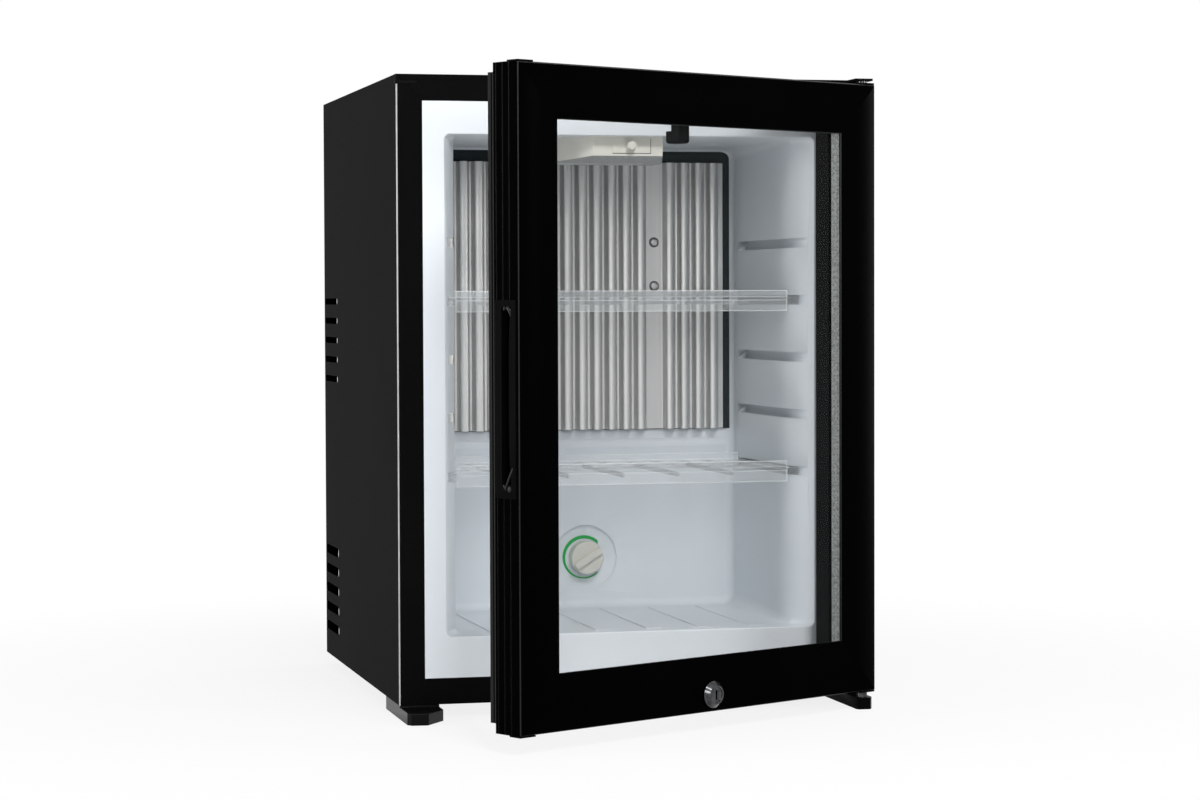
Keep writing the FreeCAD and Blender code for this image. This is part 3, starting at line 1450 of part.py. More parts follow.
def absorber_vessel():
    """The tank that collects the strong solution, with its pipe to the generator."""
    tank = rod(vessel_radius, vessel_right - vessel_left, V(vessel_left, unit_y, vessel_z), X_AXIS)
    ends = [e for e in tank.Edges if e.Length > vessel_radius and e.Curve.TypeId == "Part::GeomCircle"]
    tank = tank.makeFillet(vessel_end_radius, ends)
    inside = rod(vessel_radius - vessel_wall, vessel_right - vessel_left - 2 * vessel_radius,
                 V(vessel_left + vessel_radius, unit_y, vessel_z), X_AXIS)
    pipe = tube_route([V(vessel_left + vessel_radius, unit_y, vessel_z), V(boiler_x, unit_y, vessel_z),
                       V(boiler_x, unit_y, boiler_bottom)], exchanger_radius, tube_bend)
    seat_top = V(coil_left + coil_pitch, unit_y, vessel_z + vessel_radius - face_gap)
    seat = rod(exchanger_radius, vessel_radius, seat_top, Z_AXIS)
    return fuse([tank, pipe]).cut(inside).cut(seat)


def unit_brackets():
    """The stand-offs that tie the can, coil and tank to the bulkhead."""
    return [bracket(coil_right - bracket_width, unit_y - tube_radius,
                    coil_bottom - tube_radius, coil_top + tube_radius),
            bracket(boiler_x, unit_y - boiler_radius,
                    boiler_bottom + bracket_width, boiler_top - bracket_width),
            bracket(coil_left + bracket_width, unit_y - vessel_radius,
                    vessel_z - bracket_width, vessel_z + bracket_width)]


def bracket(x, y1, z0, z1):
    """A bent sheet stand-off: a foot on the bulkhead and a leg out to a tube."""
    y0 = bulkhead + sheet
    foot = box(x, x + bracket_width, y0, y0 + bracket_sheet, z0, z1)
    leg = box(x, x + bracket_sheet, y0, y1, z0, z1)
    return fuse([foot, leg])


def control_box():
    """The electrical box on the compartment's floor, behind which the mains inlet faces the rear."""
    x0 = control_x
    y1 = back - sheet - control_back_gap
    return box(x0, x0 + control_width, y1 - control_depth, y1 - inlet_depth,
               bottom + sheet, bottom + sheet + control_height)


def inlet_block():
    """The body of the mains inlet on the box's rear wall."""
    x0 = control_x + control_width / 2 - inlet_width / 2
    y1 = back - sheet - control_back_gap
    z0 = bottom + sheet + (control_height - inlet_height) / 2
    return box(x0, x0 + inlet_width, y1 - inlet_depth, y1, z0, z0 + inlet_height)


def mains_inlet():
    """The appliance inlet with its socket and three pins."""
    block = inlet_block()
    x0 = block.BoundBox.XMin + insert_wall
    x1 = block.BoundBox.XMax - insert_wall
    y0 = block.BoundBox.YMin + insert_wall
    y1 = block.BoundBox.YMax
    z0 = block.BoundBox.ZMin + insert_wall
    z1 = block.BoundBox.ZMax - insert_wall
    socket = box(x0, x1, y0, y1 + cut, z0, z1)
    pins = []
    for i in (-1, 0, 1):
        x = (x0 + x1) / 2 + i * inlet_width / 4
        z = (z0 + z1) / 2 + (inlet_pin_rise if i == 0 else 0)
        pins.append(box(x - sheet, x + sheet, y0 - sheet, y1 - insert_wall, z - insert_wall, z + insert_wall))
    return fuse([block.cut(socket)] + pins)


def drain_tube():
    """The condensate tube from the drip ledge through the foam."""
    y0 = cavity_back
    length = bulkhead + sheet + drain_tail - y0
    outer = rod(drain_radius, length, V(drain_x, y0, drain_z), Y_AXIS)
    return outer.cut(rod(drain_radius - drain_wall, length + 2 * cut, V(drain_x, y0 - cut, drain_z), Y_AXIS))


def drain_core():
    """The tube's clear bore, which the foam leaves open."""
    return rod(drain_radius, bulkhead - cavity_back, V(drain_x, cavity_back, drain_z), Y_AXIS)


def build():
    """Every sub-part by name."""
    nodes = {}
    nodes["outer_wrap"] = outer_wrap()
    nodes["base_pan"] = base_pan()
    nodes["rear_bulkhead"] = rear_bulkhead()
    nodes["inner_liner"] = inner_liner()
    nodes["evaporator_plate"] = evaporator_plate()
    nodes["evaporator_seal"] = evaporator_seal()
    nodes["heat_bridge"] = heat_bridge()
    nodes["evaporator_screws"] = evaporator_screws()
    nodes["evaporator_tube"] = evaporator_tube()
    nodes["thermostat_knob"] = thermostat_knob()
    nodes["thermostat_shaft"] = thermostat_shaft()
    nodes["thermostat_body"] = thermostat_body()
    nodes["thermostat_scale"] = thermostat_scale()
    nodes["sensor_capillary"] = capillary()
    nodes["lamp_housing"] = lamp_housing()
    nodes["lamp_lens"] = lamp_lens()
    nodes["lamp_board"] = lamp_board()
    nodes["switch_frame"] = switch_frame()
    nodes["switch_plunger"] = switch_plunger()
    nodes["switch_spring"] = switch_spring()
    nodes["switch_contact"] = switch_stop()
    nodes["left_stile"] = left_stile()
    nodes["right_stile"] = right_stile()
    nodes["top_rail"] = top_rail()
    nodes["bottom_rail"] = bottom_rail()
    nodes["outer_pane"] = glass_pane(pane_front)
    nodes["inner_pane"] = glass_pane(pane_back)
    nodes["glass_spacer"] = glass_spacer()
    nodes["inner_frame"] = inner_frame()
    nodes["door_gasket"] = door_gasket()
    nodes["gasket_magnets"] = gasket_magnets()
    nodes["handle_insert"] = handle_insert()
    nodes["hinge_side_insert"] = hinge_side_insert()
    nodes["hinge_bushes"] = hinge_bushes()
    nodes["corner_caps"] = corner_caps()
    nodes["switch_tab"] = switch_tab()
    nodes["lock_sleeve"] = [lock_sleeve(), lock_nut()]
    nodes["lock_plug"] = lock_plug()
    nodes["lock_cam"] = lock_cam()
    nodes["cam_screw"] = cam_screw()
    nodes["lock_strike"] = lock_strike()
    nodes["case_screws"] = case_screws()
    nodes["left_foot"] = left_foot()
    nodes["hinge_foot"] = hinge_foot()
    nodes["rear_feet"] = rear_feet()
    nodes["hinge_pins"] = [lower_hinge_pin(), upper_hinge_pin()]
    nodes["upper_hinge_plate"] = upper_hinge_plate()
    nodes["slot_cap"] = slot_cap()
    nodes["lower_shelf"] = shelf(lower_shelf_groove_count)
    nodes["upper_shelf"] = shelf(upper_shelf_groove_count)
    nodes["boiler_jacket"] = boiler_jacket()
    nodes["heater_cartridge"] = heater_cartridge()
    nodes["condenser"] = condenser()
    nodes["absorber_coil"] = absorber_coil()
    nodes["absorber_vessel"] = absorber_vessel()
    nodes["unit_brackets"] = unit_brackets()
    nodes["control_box"] = control_box()
    nodes["mains_inlet"] = mains_inlet()
    nodes["drain_tube"] = drain_tube()
    held = ("heat_bridge", "evaporator_screws", "evaporator_tube", "thermostat_body", "sensor_capillary",
            "case_screws", "upper_hinge_plate", "slot_cap", "drain_tube")
    embedded = []
    for name in held:
        embedded += nodes[name] if isinstance(nodes[name], list) else [nodes[name]]
    nodes["foam_insulation"] = foam_insulation(embedded + [drain_core(), shaft_core()])
    return nodes


def main():
    os.makedirs("parts", exist_ok=True)
    nodes = build()
    for name, shape in nodes.items():
        solid = Part.makeCompound(shape) if isinstance(shape, list) else shape
        solid.exportStep("parts/" + name + ".step")
        count = len(solid.Solids)
        valid = solid.isValid()
        print(name, "solids", count, "valid", valid, "volume", round(solid.Volume))


main()
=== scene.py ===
import bpy
import bmesh
import json
import math
from mathutils import Matrix, Vector


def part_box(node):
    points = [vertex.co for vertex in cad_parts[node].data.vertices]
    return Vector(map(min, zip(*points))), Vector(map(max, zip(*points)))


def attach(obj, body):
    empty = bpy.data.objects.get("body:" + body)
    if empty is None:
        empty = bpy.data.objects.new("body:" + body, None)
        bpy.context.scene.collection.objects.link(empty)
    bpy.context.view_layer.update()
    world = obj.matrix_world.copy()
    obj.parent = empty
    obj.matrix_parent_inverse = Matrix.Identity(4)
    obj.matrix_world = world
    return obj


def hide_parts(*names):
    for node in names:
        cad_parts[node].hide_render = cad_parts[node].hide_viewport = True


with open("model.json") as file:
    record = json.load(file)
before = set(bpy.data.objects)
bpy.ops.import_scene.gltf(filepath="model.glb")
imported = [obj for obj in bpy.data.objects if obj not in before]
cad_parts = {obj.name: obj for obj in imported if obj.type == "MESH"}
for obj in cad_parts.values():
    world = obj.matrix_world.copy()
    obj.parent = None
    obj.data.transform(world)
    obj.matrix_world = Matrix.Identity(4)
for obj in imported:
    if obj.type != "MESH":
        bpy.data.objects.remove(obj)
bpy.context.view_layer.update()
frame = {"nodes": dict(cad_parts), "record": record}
nodes = frame["nodes"]
record = frame["record"]
slot_of = {part["node"]: part["material_slot"] for part in record["subparts"]}
body_of = {node: body for body, members in record["behaviour"]["bodies"].items() for node in members}
mm = 0.001


# Camera, fitted to the measured edges of the cabinet and the door

camera_place = (-0.64855, -2.74680, 0.35777)
camera_yaw, camera_pitch, camera_roll = 13.7121, 1.8766, -0.1996
sensor_width = 36
picture_width = 1200
focal_length_in_pixels = 3012.62


def photo_camera():
    yaw, pitch, roll = (math.radians(angle) for angle in (camera_yaw, camera_pitch, camera_roll))
    forward = Vector((math.sin(yaw) * math.cos(pitch), math.cos(yaw) * math.cos(pitch), -math.sin(pitch)))
    right = Vector((math.cos(yaw), -math.sin(yaw), 0))
    up = right.cross(forward)
    right_rolled = right * math.cos(roll) + up * math.sin(roll)
    up_rolled = -right * math.sin(roll) + up * math.cos(roll)
    data = bpy.data.cameras.new("photo_camera")
    data.sensor_width = sensor_width
    data.lens = focal_length_in_pixels / picture_width * sensor_width
    data.clip_start = 0.1
    data.clip_end = 60
    camera = bpy.data.objects.new("photo_camera", data)
    bpy.context.scene.collection.objects.link(camera)
    matrix = Matrix((right_rolled, up_rolled, -forward)).transposed().to_4x4()
    matrix.translation = Vector(camera_place)
    camera.matrix_world = matrix
    bpy.context.scene.camera = camera


photo_camera()
bpy.context.scene.view_settings.view_transform = "Standard"


# Light and background

fill_colour = (0.74, 0.90, 1.0)
fill_level = 0.10
lamps = (
    # name, place, what it points at, width and height, watts
    ("key", (0.1, -2.85, 2.45), (0, 0, 0.28), (1.0, 0.8), 66),
    ("front_fill", (-0.55, -3.3, 1.2), (0, 0, 0.28), (1.2, 0.8), 30),
    ("right_front", (2.4, -2.1, 0.9), (0, -0.1, 0.28), (1.0, 1.0), 30),
    ("left_strip", (-2.9, -0.4, 0.6), (0, -0.1, 0.3), (0.8, 1.4), 44),
    ("right_strip", (2.7, 0.8, 0.5), (0, 0, 0.28), (0.6, 1.3), 18),
    ("top", (0.4, 0.6, 3.0), (0, 0, 0.2), (1.6, 1.6), 14),
)


def math_node(tree, operation, first, second):
    node = tree.nodes.new("ShaderNodeMath")
    node.operation = operation
    tree.links.new(first, node.inputs[0])
    tree.links.new(second, node.inputs[1])
    return node.outputs[0]


def seen_directly(tree):
    """1 for what is seen, mirrored or seen through glass, 0 for what only lights other surfaces."""
    path = tree.nodes.new("ShaderNodeLightPath")
    seen, mirrored, through = (path.outputs[ray] for ray in ("Is Camera Ray", "Is Glossy Ray",
                                                             "Is Transmission Ray"))
    return math_node(tree, "MAXIMUM", math_node(tree, "MAXIMUM", seen, mirrored), through)


def mixed_shaders(tree, share, first, second, target):
    mix = tree.nodes.new("ShaderNodeMixShader")
    tree.links.new(share, mix.inputs[0])
    tree.links.new(first, mix.inputs[1])
    tree.links.new(second, mix.inputs[2])
    tree.links.new(mix.outputs[0], target)


def background(tree, colour, level):
    node = tree.nodes.new("ShaderNodeBackground")
    node.inputs["Color"].default_value = (*colour, 1)
    node.inputs["Strength"].default_value = level
    return node.outputs[0]


def world_light():
    """A white surround to look at, and a dim bluish one that lights the scene."""
    world = bpy.data.worlds.new("studio")
    bpy.context.scene.world = world
    world.use_nodes = True
    tree = world.node_tree
    tree.nodes.clear()
    out = tree.nodes.new("ShaderNodeOutputWorld")
    shown = background(tree, (1, 1, 1), 1.0)
    fill = background(tree, fill_colour, fill_level)
    mixed_shaders(tree, seen_directly(tree), fill, shown, out.inputs[0])


def area_light(name, place, target, size, watts):
    data = bpy.data.lights.new(name, "AREA")
    data.shape = "RECTANGLE"
    data.size = size[0]
    data.size_y = size[1]
    data.energy = watts
    lamp = bpy.data.objects.new(name, data)
    bpy.context.scene.collection.objects.link(lamp)
    lamp.location = place
    lamp.rotation_euler = (Vector(target) - Vector(place)).to_track_quat("-Z", "Y").to_euler()


world_light()
for lamp_row in lamps:
    area_light(*lamp_row)


# Materials

def value_range(tree, source, low, high):
    """The middle of a noise, spread from low to high."""
    node = tree.nodes.new("ShaderNodeMapRange")
    node.inputs["From Min"].default_value = 0.3
    node.inputs["From Max"].default_value = 0.7
    node.inputs["To Min"].default_value = low
    node.inputs["To Max"].default_value = high
    tree.links.new(source, node.inputs["Value"])
    return node.outputs["Result"]


def stretched(tree, scale):
    """The surface's own coordinates, scaled so that its pattern can run along one direction."""
    place = tree.nodes.new("ShaderNodeTexCoord")
    mapping = tree.nodes.new("ShaderNodeMapping")
    mapping.inputs["Scale"].default_value = scale
    tree.links.new(place.outputs["Object"], mapping.inputs["Vector"])
    return mapping.outputs["Vector"]


def noise(tree, vector, scale, detail=3.0):
    node = tree.nodes.new("ShaderNodeTexNoise")
    node.inputs["Scale"].default_value = scale
    node.inputs["Detail"].default_value = detail
    node.inputs["Roughness"].default_value = 0.55
    tree.links.new(vector, node.inputs["Vector"])
    return node.outputs["Fac"]


def scaled_plus(tree, source, factor, added):
    node = tree.nodes.new("ShaderNodeMath")
    node.operation = "MULTIPLY_ADD"
    node.inputs[1].default_value = factor
    tree.links.new(source, node.inputs[0])
    tree.links.new(added, node.inputs[2])
    return node.outputs[0]


def colour_between(tree, low, high, share):
    node = tree.nodes.new("ShaderNodeMix")
    node.data_type = "RGBA"
    node.inputs["A"].default_value = (*low, 1)
    node.inputs["B"].default_value = (*high, 1)
    tree.links.new(share, node.inputs["Factor"])
    return node.outputs["Result"]


def relief_on(tree, shader, height, depth):
    bump = tree.nodes.new("ShaderNodeBump")
    bump.inputs["Strength"].default_value = 1.0
    bump.inputs["Distance"].default_value = depth
    tree.links.new(height, bump.inputs["Height"])
    tree.links.new(bump.outputs["Normal"], shader.inputs["Normal"])


def new_material(name):
    material = bpy.data.materials.new(name)
    material.use_nodes = True
    return material, material.node_tree, material.node_tree.nodes["Principled BSDF"]


def finish(name, low, high, rough, blotch, grain=900.0, depth=0.00004, metal=0.0, specular=0.5,
           stretch=(1, 1, 1)):
    """A procedural surface: blotchy colour from low to high, grain in its relief and its roughness."""
    grain_in_colour, blotch_in_colour = 0.45, 0.6
    material, tree, shader = new_material(name)
    vector = stretched(tree, stretch)
    cloud = noise(tree, vector, blotch)
    fine = noise(tree, vector, grain, 4.0)
    share = scaled_plus(tree, fine, grain_in_colour, value_range(tree, cloud, 0.0, blotch_in_colour))
    tree.links.new(colour_between(tree, low, high, share), shader.inputs["Base Color"])
    tree.links.new(value_range(tree, fine, *rough), shader.inputs["Roughness"])
    relief_on(tree, shader, fine, depth)
    shader.inputs["Metallic"].default_value = metal
    shader.inputs["Specular IOR Level"].default_value = specular
    return material


def clear_finish(name, tint, veil, edge, gloss):
    """A thin clear solid: light goes straight through it, a little veiled, and more where seen edge on."""
    material, tree, shader = new_material(name)
    vector = stretched(tree, (1, 1, 1))
    cloud = noise(tree, vector, 30.0)
    fine = noise(tree, vector, 500.0)
    facing = tree.nodes.new("ShaderNodeLayerWeight")
    facing.inputs["Blend"].default_value = 0.35
    veil_here = value_range(tree, cloud, veil * 0.85, veil * 1.15)
    tree.links.new(scaled_plus(tree, facing.outputs["Facing"], edge, veil_here), shader.inputs["Alpha"])
    shader.inputs["Base Color"].default_value = (*tint, 1)
    tree.links.new(value_range(tree, fine, gloss, gloss * 1.5), shader.inputs["Roughness"])
    relief_on(tree, shader, cloud, 0.00002)
    return material


def spangled(name, low, high):
    """Galvanised sheet: flat crystals of slightly different greys."""
    material = finish(name, low, high, rough=(0.38, 0.55), blotch=40.0, grain=1200.0, depth=0.00002,
                      metal=0.85)
    tree = material.node_tree
    crystals = tree.nodes.new("ShaderNodeTexVoronoi")
    crystals.inputs["Scale"].default_value = 160.0
    tree.links.new(stretched(tree, (1, 1, 1)), crystals.inputs["Vector"])
    split = tree.nodes.new("ShaderNodeSeparateColor")
    tree.links.new(crystals.outputs["Color"], split.inputs["Color"])
    colour = colour_between(tree, low, high, split.outputs["Red"])
    tree.links.new(colour, tree.nodes["Principled BSDF"].inputs["Base Color"])
    return material


def grey(level):
    return level, level, level


upright_grain = (1, 1, 0.15)
flute_grain = (1, 1, 0.01)

finishes = {
    "black_sheet": finish("powder_coat", (0.0032, 0.0032, 0.0033), (0.0050, 0.0050, 0.0049),
                          rough=(0.38, 0.5), blotch=5.0, grain=1500.0, depth=0.00006, specular=0.0015),
    "black_frame": finish("satin_black_rail", (0.0003, 0.0003, 0.0004), (0.0007, 0.0007, 0.0008),
                          rough=(0.26, 0.36), blotch=9.0, grain=700.0, depth=0.000015, specular=0.0025,
                          stretch=upright_grain),
    "black_plastic": finish("moulded_black", (0.0018, 0.0018, 0.0019), grey(0.0040), rough=(0.4, 0.52),
                            blotch=20.0, grain=1800.0, depth=0.00005, specular=0.03),
    "white_liner": finish("formed_white", (0.750, 0.787, 0.821), (0.765, 0.801, 0.832), rough=(0.30, 0.38),
                          blotch=9.0, grain=420.0, depth=0.0000015, specular=0.22),
    "clear_shelf": clear_finish("clear_styrene", (0.88, 0.92, 0.94), veil=0.13, edge=0.12, gloss=0.06),
    "glass": clear_finish("pane_glass", (0.006, 0.012, 0.010), veil=0.05, edge=0.07, gloss=0.02),
    "evaporator_grey": finish("frosted_aluminium", (0.54, 0.545, 0.54), (0.69, 0.685, 0.675),
                              rough=(0.34, 0.40), blotch=160.0, grain=1500.0, depth=0.000003, metal=0.7,
                              specular=0.3, stretch=flute_grain),
    "bare_aluminium": finish("bare_aluminium", (0.03, 0.033, 0.03), (0.26, 0.27, 0.26),
                             rough=(0.25, 0.5), blotch=420.0, grain=1900.0, depth=0.0002, metal=0.6),
    # A near-black seal round the evaporator; its dark colour also stands in for the shadow in the gap
    # round the plate, so it is partly painted shade.
    "dark_seal": finish("dark_seal", (0.010, 0.016, 0.018), (0.018, 0.026, 0.029), rough=(0.6, 0.75),
                        blotch=60.0, grain=1400.0, depth=0.0001, specular=0.2),
    "gasket_rubber": finish("gasket_rubber", grey(0.0035), grey(0.006), rough=(0.5, 0.62), blotch=25.0,
                            grain=1300.0, depth=0.00005, specular=0.1),
    "magnet": finish("magnet_strip", (0.02, 0.018, 0.017), (0.03, 0.028, 0.026), rough=(0.6, 0.7),
                     blotch=80.0),
    "cream_plastic": finish("cream_plastic", (0.67, 0.655, 0.59), (0.73, 0.715, 0.645),
                            rough=(0.34, 0.42), blotch=12.0, grain=700.0, depth=0.00003, specular=0.4),
    "frosted_lens": finish("frosted_lens", (0.50, 0.52, 0.52), (0.60, 0.62, 0.61), rough=(0.5, 0.6),
                           blotch=40.0, grain=1200.0, depth=0.00008, specular=0.4),
    "board": finish("board", (0.02, 0.10, 0.05), (0.03, 0.14, 0.07), rough=(0.3, 0.45), blotch=90.0,
                    grain=1500.0),
    "green_print": finish("green_print", (0.003, 0.35, 0.058), (0.006, 0.41, 0.074), rough=(0.35, 0.45),
                          blotch=50.0, grain=1200.0, depth=0.00001),
    "chrome": finish("chrome", (0.012, 0.013, 0.015), (0.110, 0.112, 0.116), rough=(0.10, 0.18),
                     blotch=260.0, grain=1500.0, depth=0.00001, metal=1.0),
    "zinc_steel": finish("zinc_steel", (0.40, 0.41, 0.40), (0.55, 0.56, 0.55), rough=(0.25, 0.42),
                         blotch=45.0, grain=1400.0, depth=0.00003, metal=0.95),
    "galvanised_sheet": spangled("galvanised_sheet", (0.34, 0.35, 0.36), (0.52, 0.53, 0.54)),
    "black_tube": finish("black_tube_paint", grey(0.012), (0.022, 0.022, 0.021), rough=(0.38, 0.52),
                         blotch=16.0, grain=900.0, depth=0.00006, specular=0.35),
    "foam": finish("foam", (0.62, 0.52, 0.32), (0.74, 0.64, 0.42), rough=(0.8, 0.9), blotch=30.0,
                   grain=700.0, depth=0.0004),
}
rail_edge = finish("rail_edge", grey(0.004), grey(0.008), rough=(0.22, 0.3), blotch=30.0, grain=700.0,
                   depth=0.00001, specular=0.2)
# A light grey for the cabinet's front folds: a painted highlight where the folds catch the light.
fold_painted_highlight = finish("fold_painted_highlight", grey(0.28), grey(0.50), rough=(0.24, 0.32), blotch=60.0, grain=900.0,
                    depth=0.00002, specular=0.5)
# A whitish, half opaque clear finish for the shelves' edges and slot rims: a painted highlight.
shelf_painted_highlight = clear_finish("shelf_painted_highlight", (0.98, 1.0, 1.0), veil=0.55, edge=0.25, gloss=0.08)
foot_gloss = finish("foot_gloss", (0.0012, 0.0012, 0.0013), grey(0.0025), rough=(0.24, 0.34), blotch=20.0,
                    grain=1500.0, depth=0.00003, specular=0.07)
handle_black = finish("handle_black", (0.0010, 0.0010, 0.0011), grey(0.0022), rough=(0.3, 0.4),
                      blotch=25.0, grain=1500.0, depth=0.00003, specular=0.012)
# Glossy and lighter than the handle: the lighter colour is a painted highlight on the grip's curved ends
# and its stop.
grip_gloss_and_painted_highlight = finish("grip_gloss_and_painted_highlight", grey(0.008), grey(0.016), rough=(0.18, 0.26), blotch=40.0,
                      grain=1200.0, depth=0.00001, specular=0.12)
# Dark grey for painted shade: the shadow strips beside the switch frame and the rings round the
# evaporator's screws.
painted_shade_grey = finish("painted_shade_grey", (0.07, 0.07, 0.065), (0.13, 0.13, 0.12), rough=(0.5, 0.6), blotch=300.0)
speckled = finish("speckled_grey", grey(0.30), (0.52, 0.52, 0.51), rough=(0.5, 0.6), blotch=260.0,
                  depth=0.00005)
# Near black for the spacer's holes, which are flat discs: painted shade.
painted_hole_shade = finish("painted_hole_shade", (0.010, 0.011, 0.011), (0.02, 0.021, 0.021), rough=(0.5, 0.7), blotch=80.0)

for name, node in nodes.items():
    node.data.materials.clear()
    node.data.materials.append(finishes["chrome" if name == "hinge_pins" else slot_of[name]])


# Mesh helpers

weld_distance = 2e-6
flat_within = math.radians(1.0)
sharp_edge = math.radians(32)
smooth_below = 38
faces_down = -0.8


def link(name, mesh, materials, body, replaced=()):
    """A piece of the scene that rides on a body and stands for the replaced CAD nodes."""
    piece = bpy.data.objects.new(name, mesh)
    bpy.context.scene.collection.objects.link(piece)
    for material in materials:
        mesh.materials.append(material)
    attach(piece, body)
    if replaced:
        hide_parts(*replaced)
    return piece


def smooth(mesh, angle=smooth_below):
    for polygon in mesh.polygons:
        polygon.use_smooth = True
    mesh.set_sharp_from_angle(angle=math.radians(angle))


def mesh_of(bm, name):
    mesh = bpy.data.meshes.new(name)
    bm.to_mesh(mesh)
    bm.free()
    return mesh


def closed_mesh(bm, name):
    """The mesh with all its faces turned outwards."""
    bmesh.ops.recalc_face_normals(bm, faces=bm.faces)
    return mesh_of(bm, name)


def stitch(bm, first, second):
    """Faces between two loops of as many corners."""
    count = len(first)
    for i in range(count):
        j = (i + 1) % count
        bm.faces.new((first[i], first[j], second[j], second[i]))


def round_edges(piece, width, segments):
    bevel = piece.modifiers.new("round", "BEVEL")
    bevel.width = width
    bevel.segments = segments
    bevel.harden_normals = True
    return bevel


def refined(node, width=0.0, pick=None, edge_material=None, body_material=None, under=None,
            smooth_angle=smooth_below):
    """A copy of a CAD node that stands for it, its sharp edges rounded where width is given.

    pick gives an edge's share of the width, and under is a second material for what faces down.
    """
    bm = bmesh.new()
    bm.from_mesh(nodes[node].data)
    bmesh.ops.remove_doubles(bm, verts=bm.verts, dist=weld_distance)
    if width:
        bmesh.ops.dissolve_limit(bm, angle_limit=flat_within, verts=bm.verts, edges=bm.edges)
        layer = bm.edges.layers.float.new("bevel_weight_edge")
        for edge in bm.edges:
            if len(edge.link_faces) == 2 and edge.calc_face_angle(0) > sharp_edge:
                edge[layer] = 1.0 if pick is None else float(pick(edge))
    if under:
        for face in bm.faces:
            face.material_index = 1 if face.normal.z < faces_down else 0
    mesh = mesh_of(bm, node + "_fine")
    smooth(mesh, smooth_angle)
    materials = [body_material or finishes[slot_of[node]]] + [m for m in (edge_material, under) if m]
    piece = link(node + "_fine", mesh, materials, body_of[node], (node,))
    if width:
        bevel = round_edges(piece, width, 3)
        bevel.limit_method = "WEIGHT"
        bevel.use_clamp_overlap = True
        if edge_material:
            bevel.material = 1
    else:
        normals = piece.modifiers.new("even_normals", "WEIGHTED_NORMAL")
        normals.keep_sharp = True


def turned(name, profile, centre, axis, body, material, steps, close=False):
    """A surface of revolution about a level axis: profile is a list of (radius, height along the axis)."""
    along = Vector(axis).normalized()
    side = along.cross(Vector((0, 0, 1))).normalized()
    up = along.cross(side).normalized()
    bm = bmesh.new()
    rings = []
    for radius, height in profile:
        middle = Vector(centre) + along * height
        if radius == 0:
            rings.append([bm.verts.new(middle)])
            continue
        ring = []
        for i in range(steps):
            a = 2 * math.pi * i / steps
            sideways = side * (radius * math.cos(a))
            upward = up * (radius * math.sin(a))
            ring.append(bm.verts.new(middle + sideways + upward))
        rings.append(ring)
    pairs = list(zip(rings, rings[1:]))
    if close:
        pairs.append((rings[-1], rings[0]))
    for first, second in pairs:
        for i in range(steps):
            j = (i + 1) % steps
            if len(first) == 1:
                bm.faces.new((first[0], second[i], second[j]))
            elif len(second) == 1:
                bm.faces.new((first[i], second[0], first[j]))
            else:
                bm.faces.new((first[i], second[i], second[j], first[j]))
    mesh = closed_mesh(bm, name)
    smooth(mesh)
    link(name, mesh, [material], body)


# The door's own directions: across its face, into its depth, up

hinge = Vector((0.198, -0.2445, 0))
rest_angle = 29
swung = Matrix.Rotation(math.radians(rest_angle), 4, "Z")
door_front = -0.252
door_across = swung @ Vector((1, 0, 0))
door_inward = swung @ Vector((0, 1, 0))


def door(x, w, z):
    """The place of a point that lies at x across the closed door, w into its depth and z up."""
    return swung @ (Vector((x, door_front + w, z)) - hinge) + hinge


def depth_in_door(point):
    return (swung.inverted() @ (point - hinge) + hinge).y - door_front


# Pieces with rounded edges

def wrap_fold(edge):
    """The upright folds at the cabinet's front corners, which get a light grey as a painted highlight."""
    half_width, bend = 207 * mm, 1.2 * mm
    a, b = edge.verts[0].co, edge.verts[1].co
    upright = abs(a.z - b.z) > 100 * mm
    at_side_wall = abs(abs(a.x) - half_width) < bend
    at_front = a.y < -200 * mm
    return upright and at_side_wall and at_front


def lengthwise(direction):
    """Only edges along the rail are rounded: its outer corners fully, the ribs between them a little."""
    shortest, parallel = 12 * mm, 0.995
    first_rib, last_rib, rib_share = 2 * mm, 28.5 * mm, 0.12

    def share(edge):
        a, b = edge.verts[0].co, edge.verts[1].co
        along = b - a
        if along.length < shortest or abs(along.normalized().dot(direction)) < parallel:
            return 0.0
        on_a_rib = first_rib <= depth_in_door((a + b) / 2) <= last_rib
        return rib_share if on_a_rib else 1.0
    return share


def not_tiny(edge):
    return edge.calc_length() > 3 * mm


refined("outer_wrap", 1.1 * mm, pick=wrap_fold, edge_material=fold_painted_highlight)
for part in ("left_stile", "right_stile"):
    refined(part, 0.6 * mm, pick=lengthwise(Vector((0, 0, 1))), edge_material=rail_edge)
for part in ("top_rail", "bottom_rail"):
    refined(part, 0.6 * mm, pick=lengthwise(door_across), edge_material=rail_edge)
refined("handle_insert", 0.7 * mm, pick=not_tiny, edge_material=rail_edge, body_material=handle_black)
for part, width in (("hinge_side_insert", 0.5), ("corner_caps", 0.5), ("inner_frame", 0.5),
                    ("switch_tab", 0.6), ("rear_feet", 0.5), ("slot_cap", 0.5), ("switch_frame", 0.2),
                    ("upper_hinge_plate", 0.5), ("control_box", 0.8), ("mains_inlet", 0.5),
                    ("lamp_lens", 0.5), ("base_pan", 0.4)):
    refined(part, width * mm)
refined("lamp_housing", 0.9 * mm, under=speckled)
refined("left_foot", 0.7 * mm, body_material=foot_gloss)
refined("hinge_foot", 0.7 * mm, body_material=handle_black)


# Clear shelves: the tray in one skin, its rounded edges whitish as a painted highlight, and the rims of
# its slots as fine whitish beads, also a painted highlight

apart = 0.02 * mm
bead = 0.5 * mm
shelf_bays = 6
shelf_rows = 3


def rectangle(bm, low, high, z):
    """Four corners at one height."""
    return [bm.verts.new((x, y, z)) for x, y in (
        (low[0], low[1]), (high[0], low[1]), (high[0], high[1]), (low[0], high[1]))]


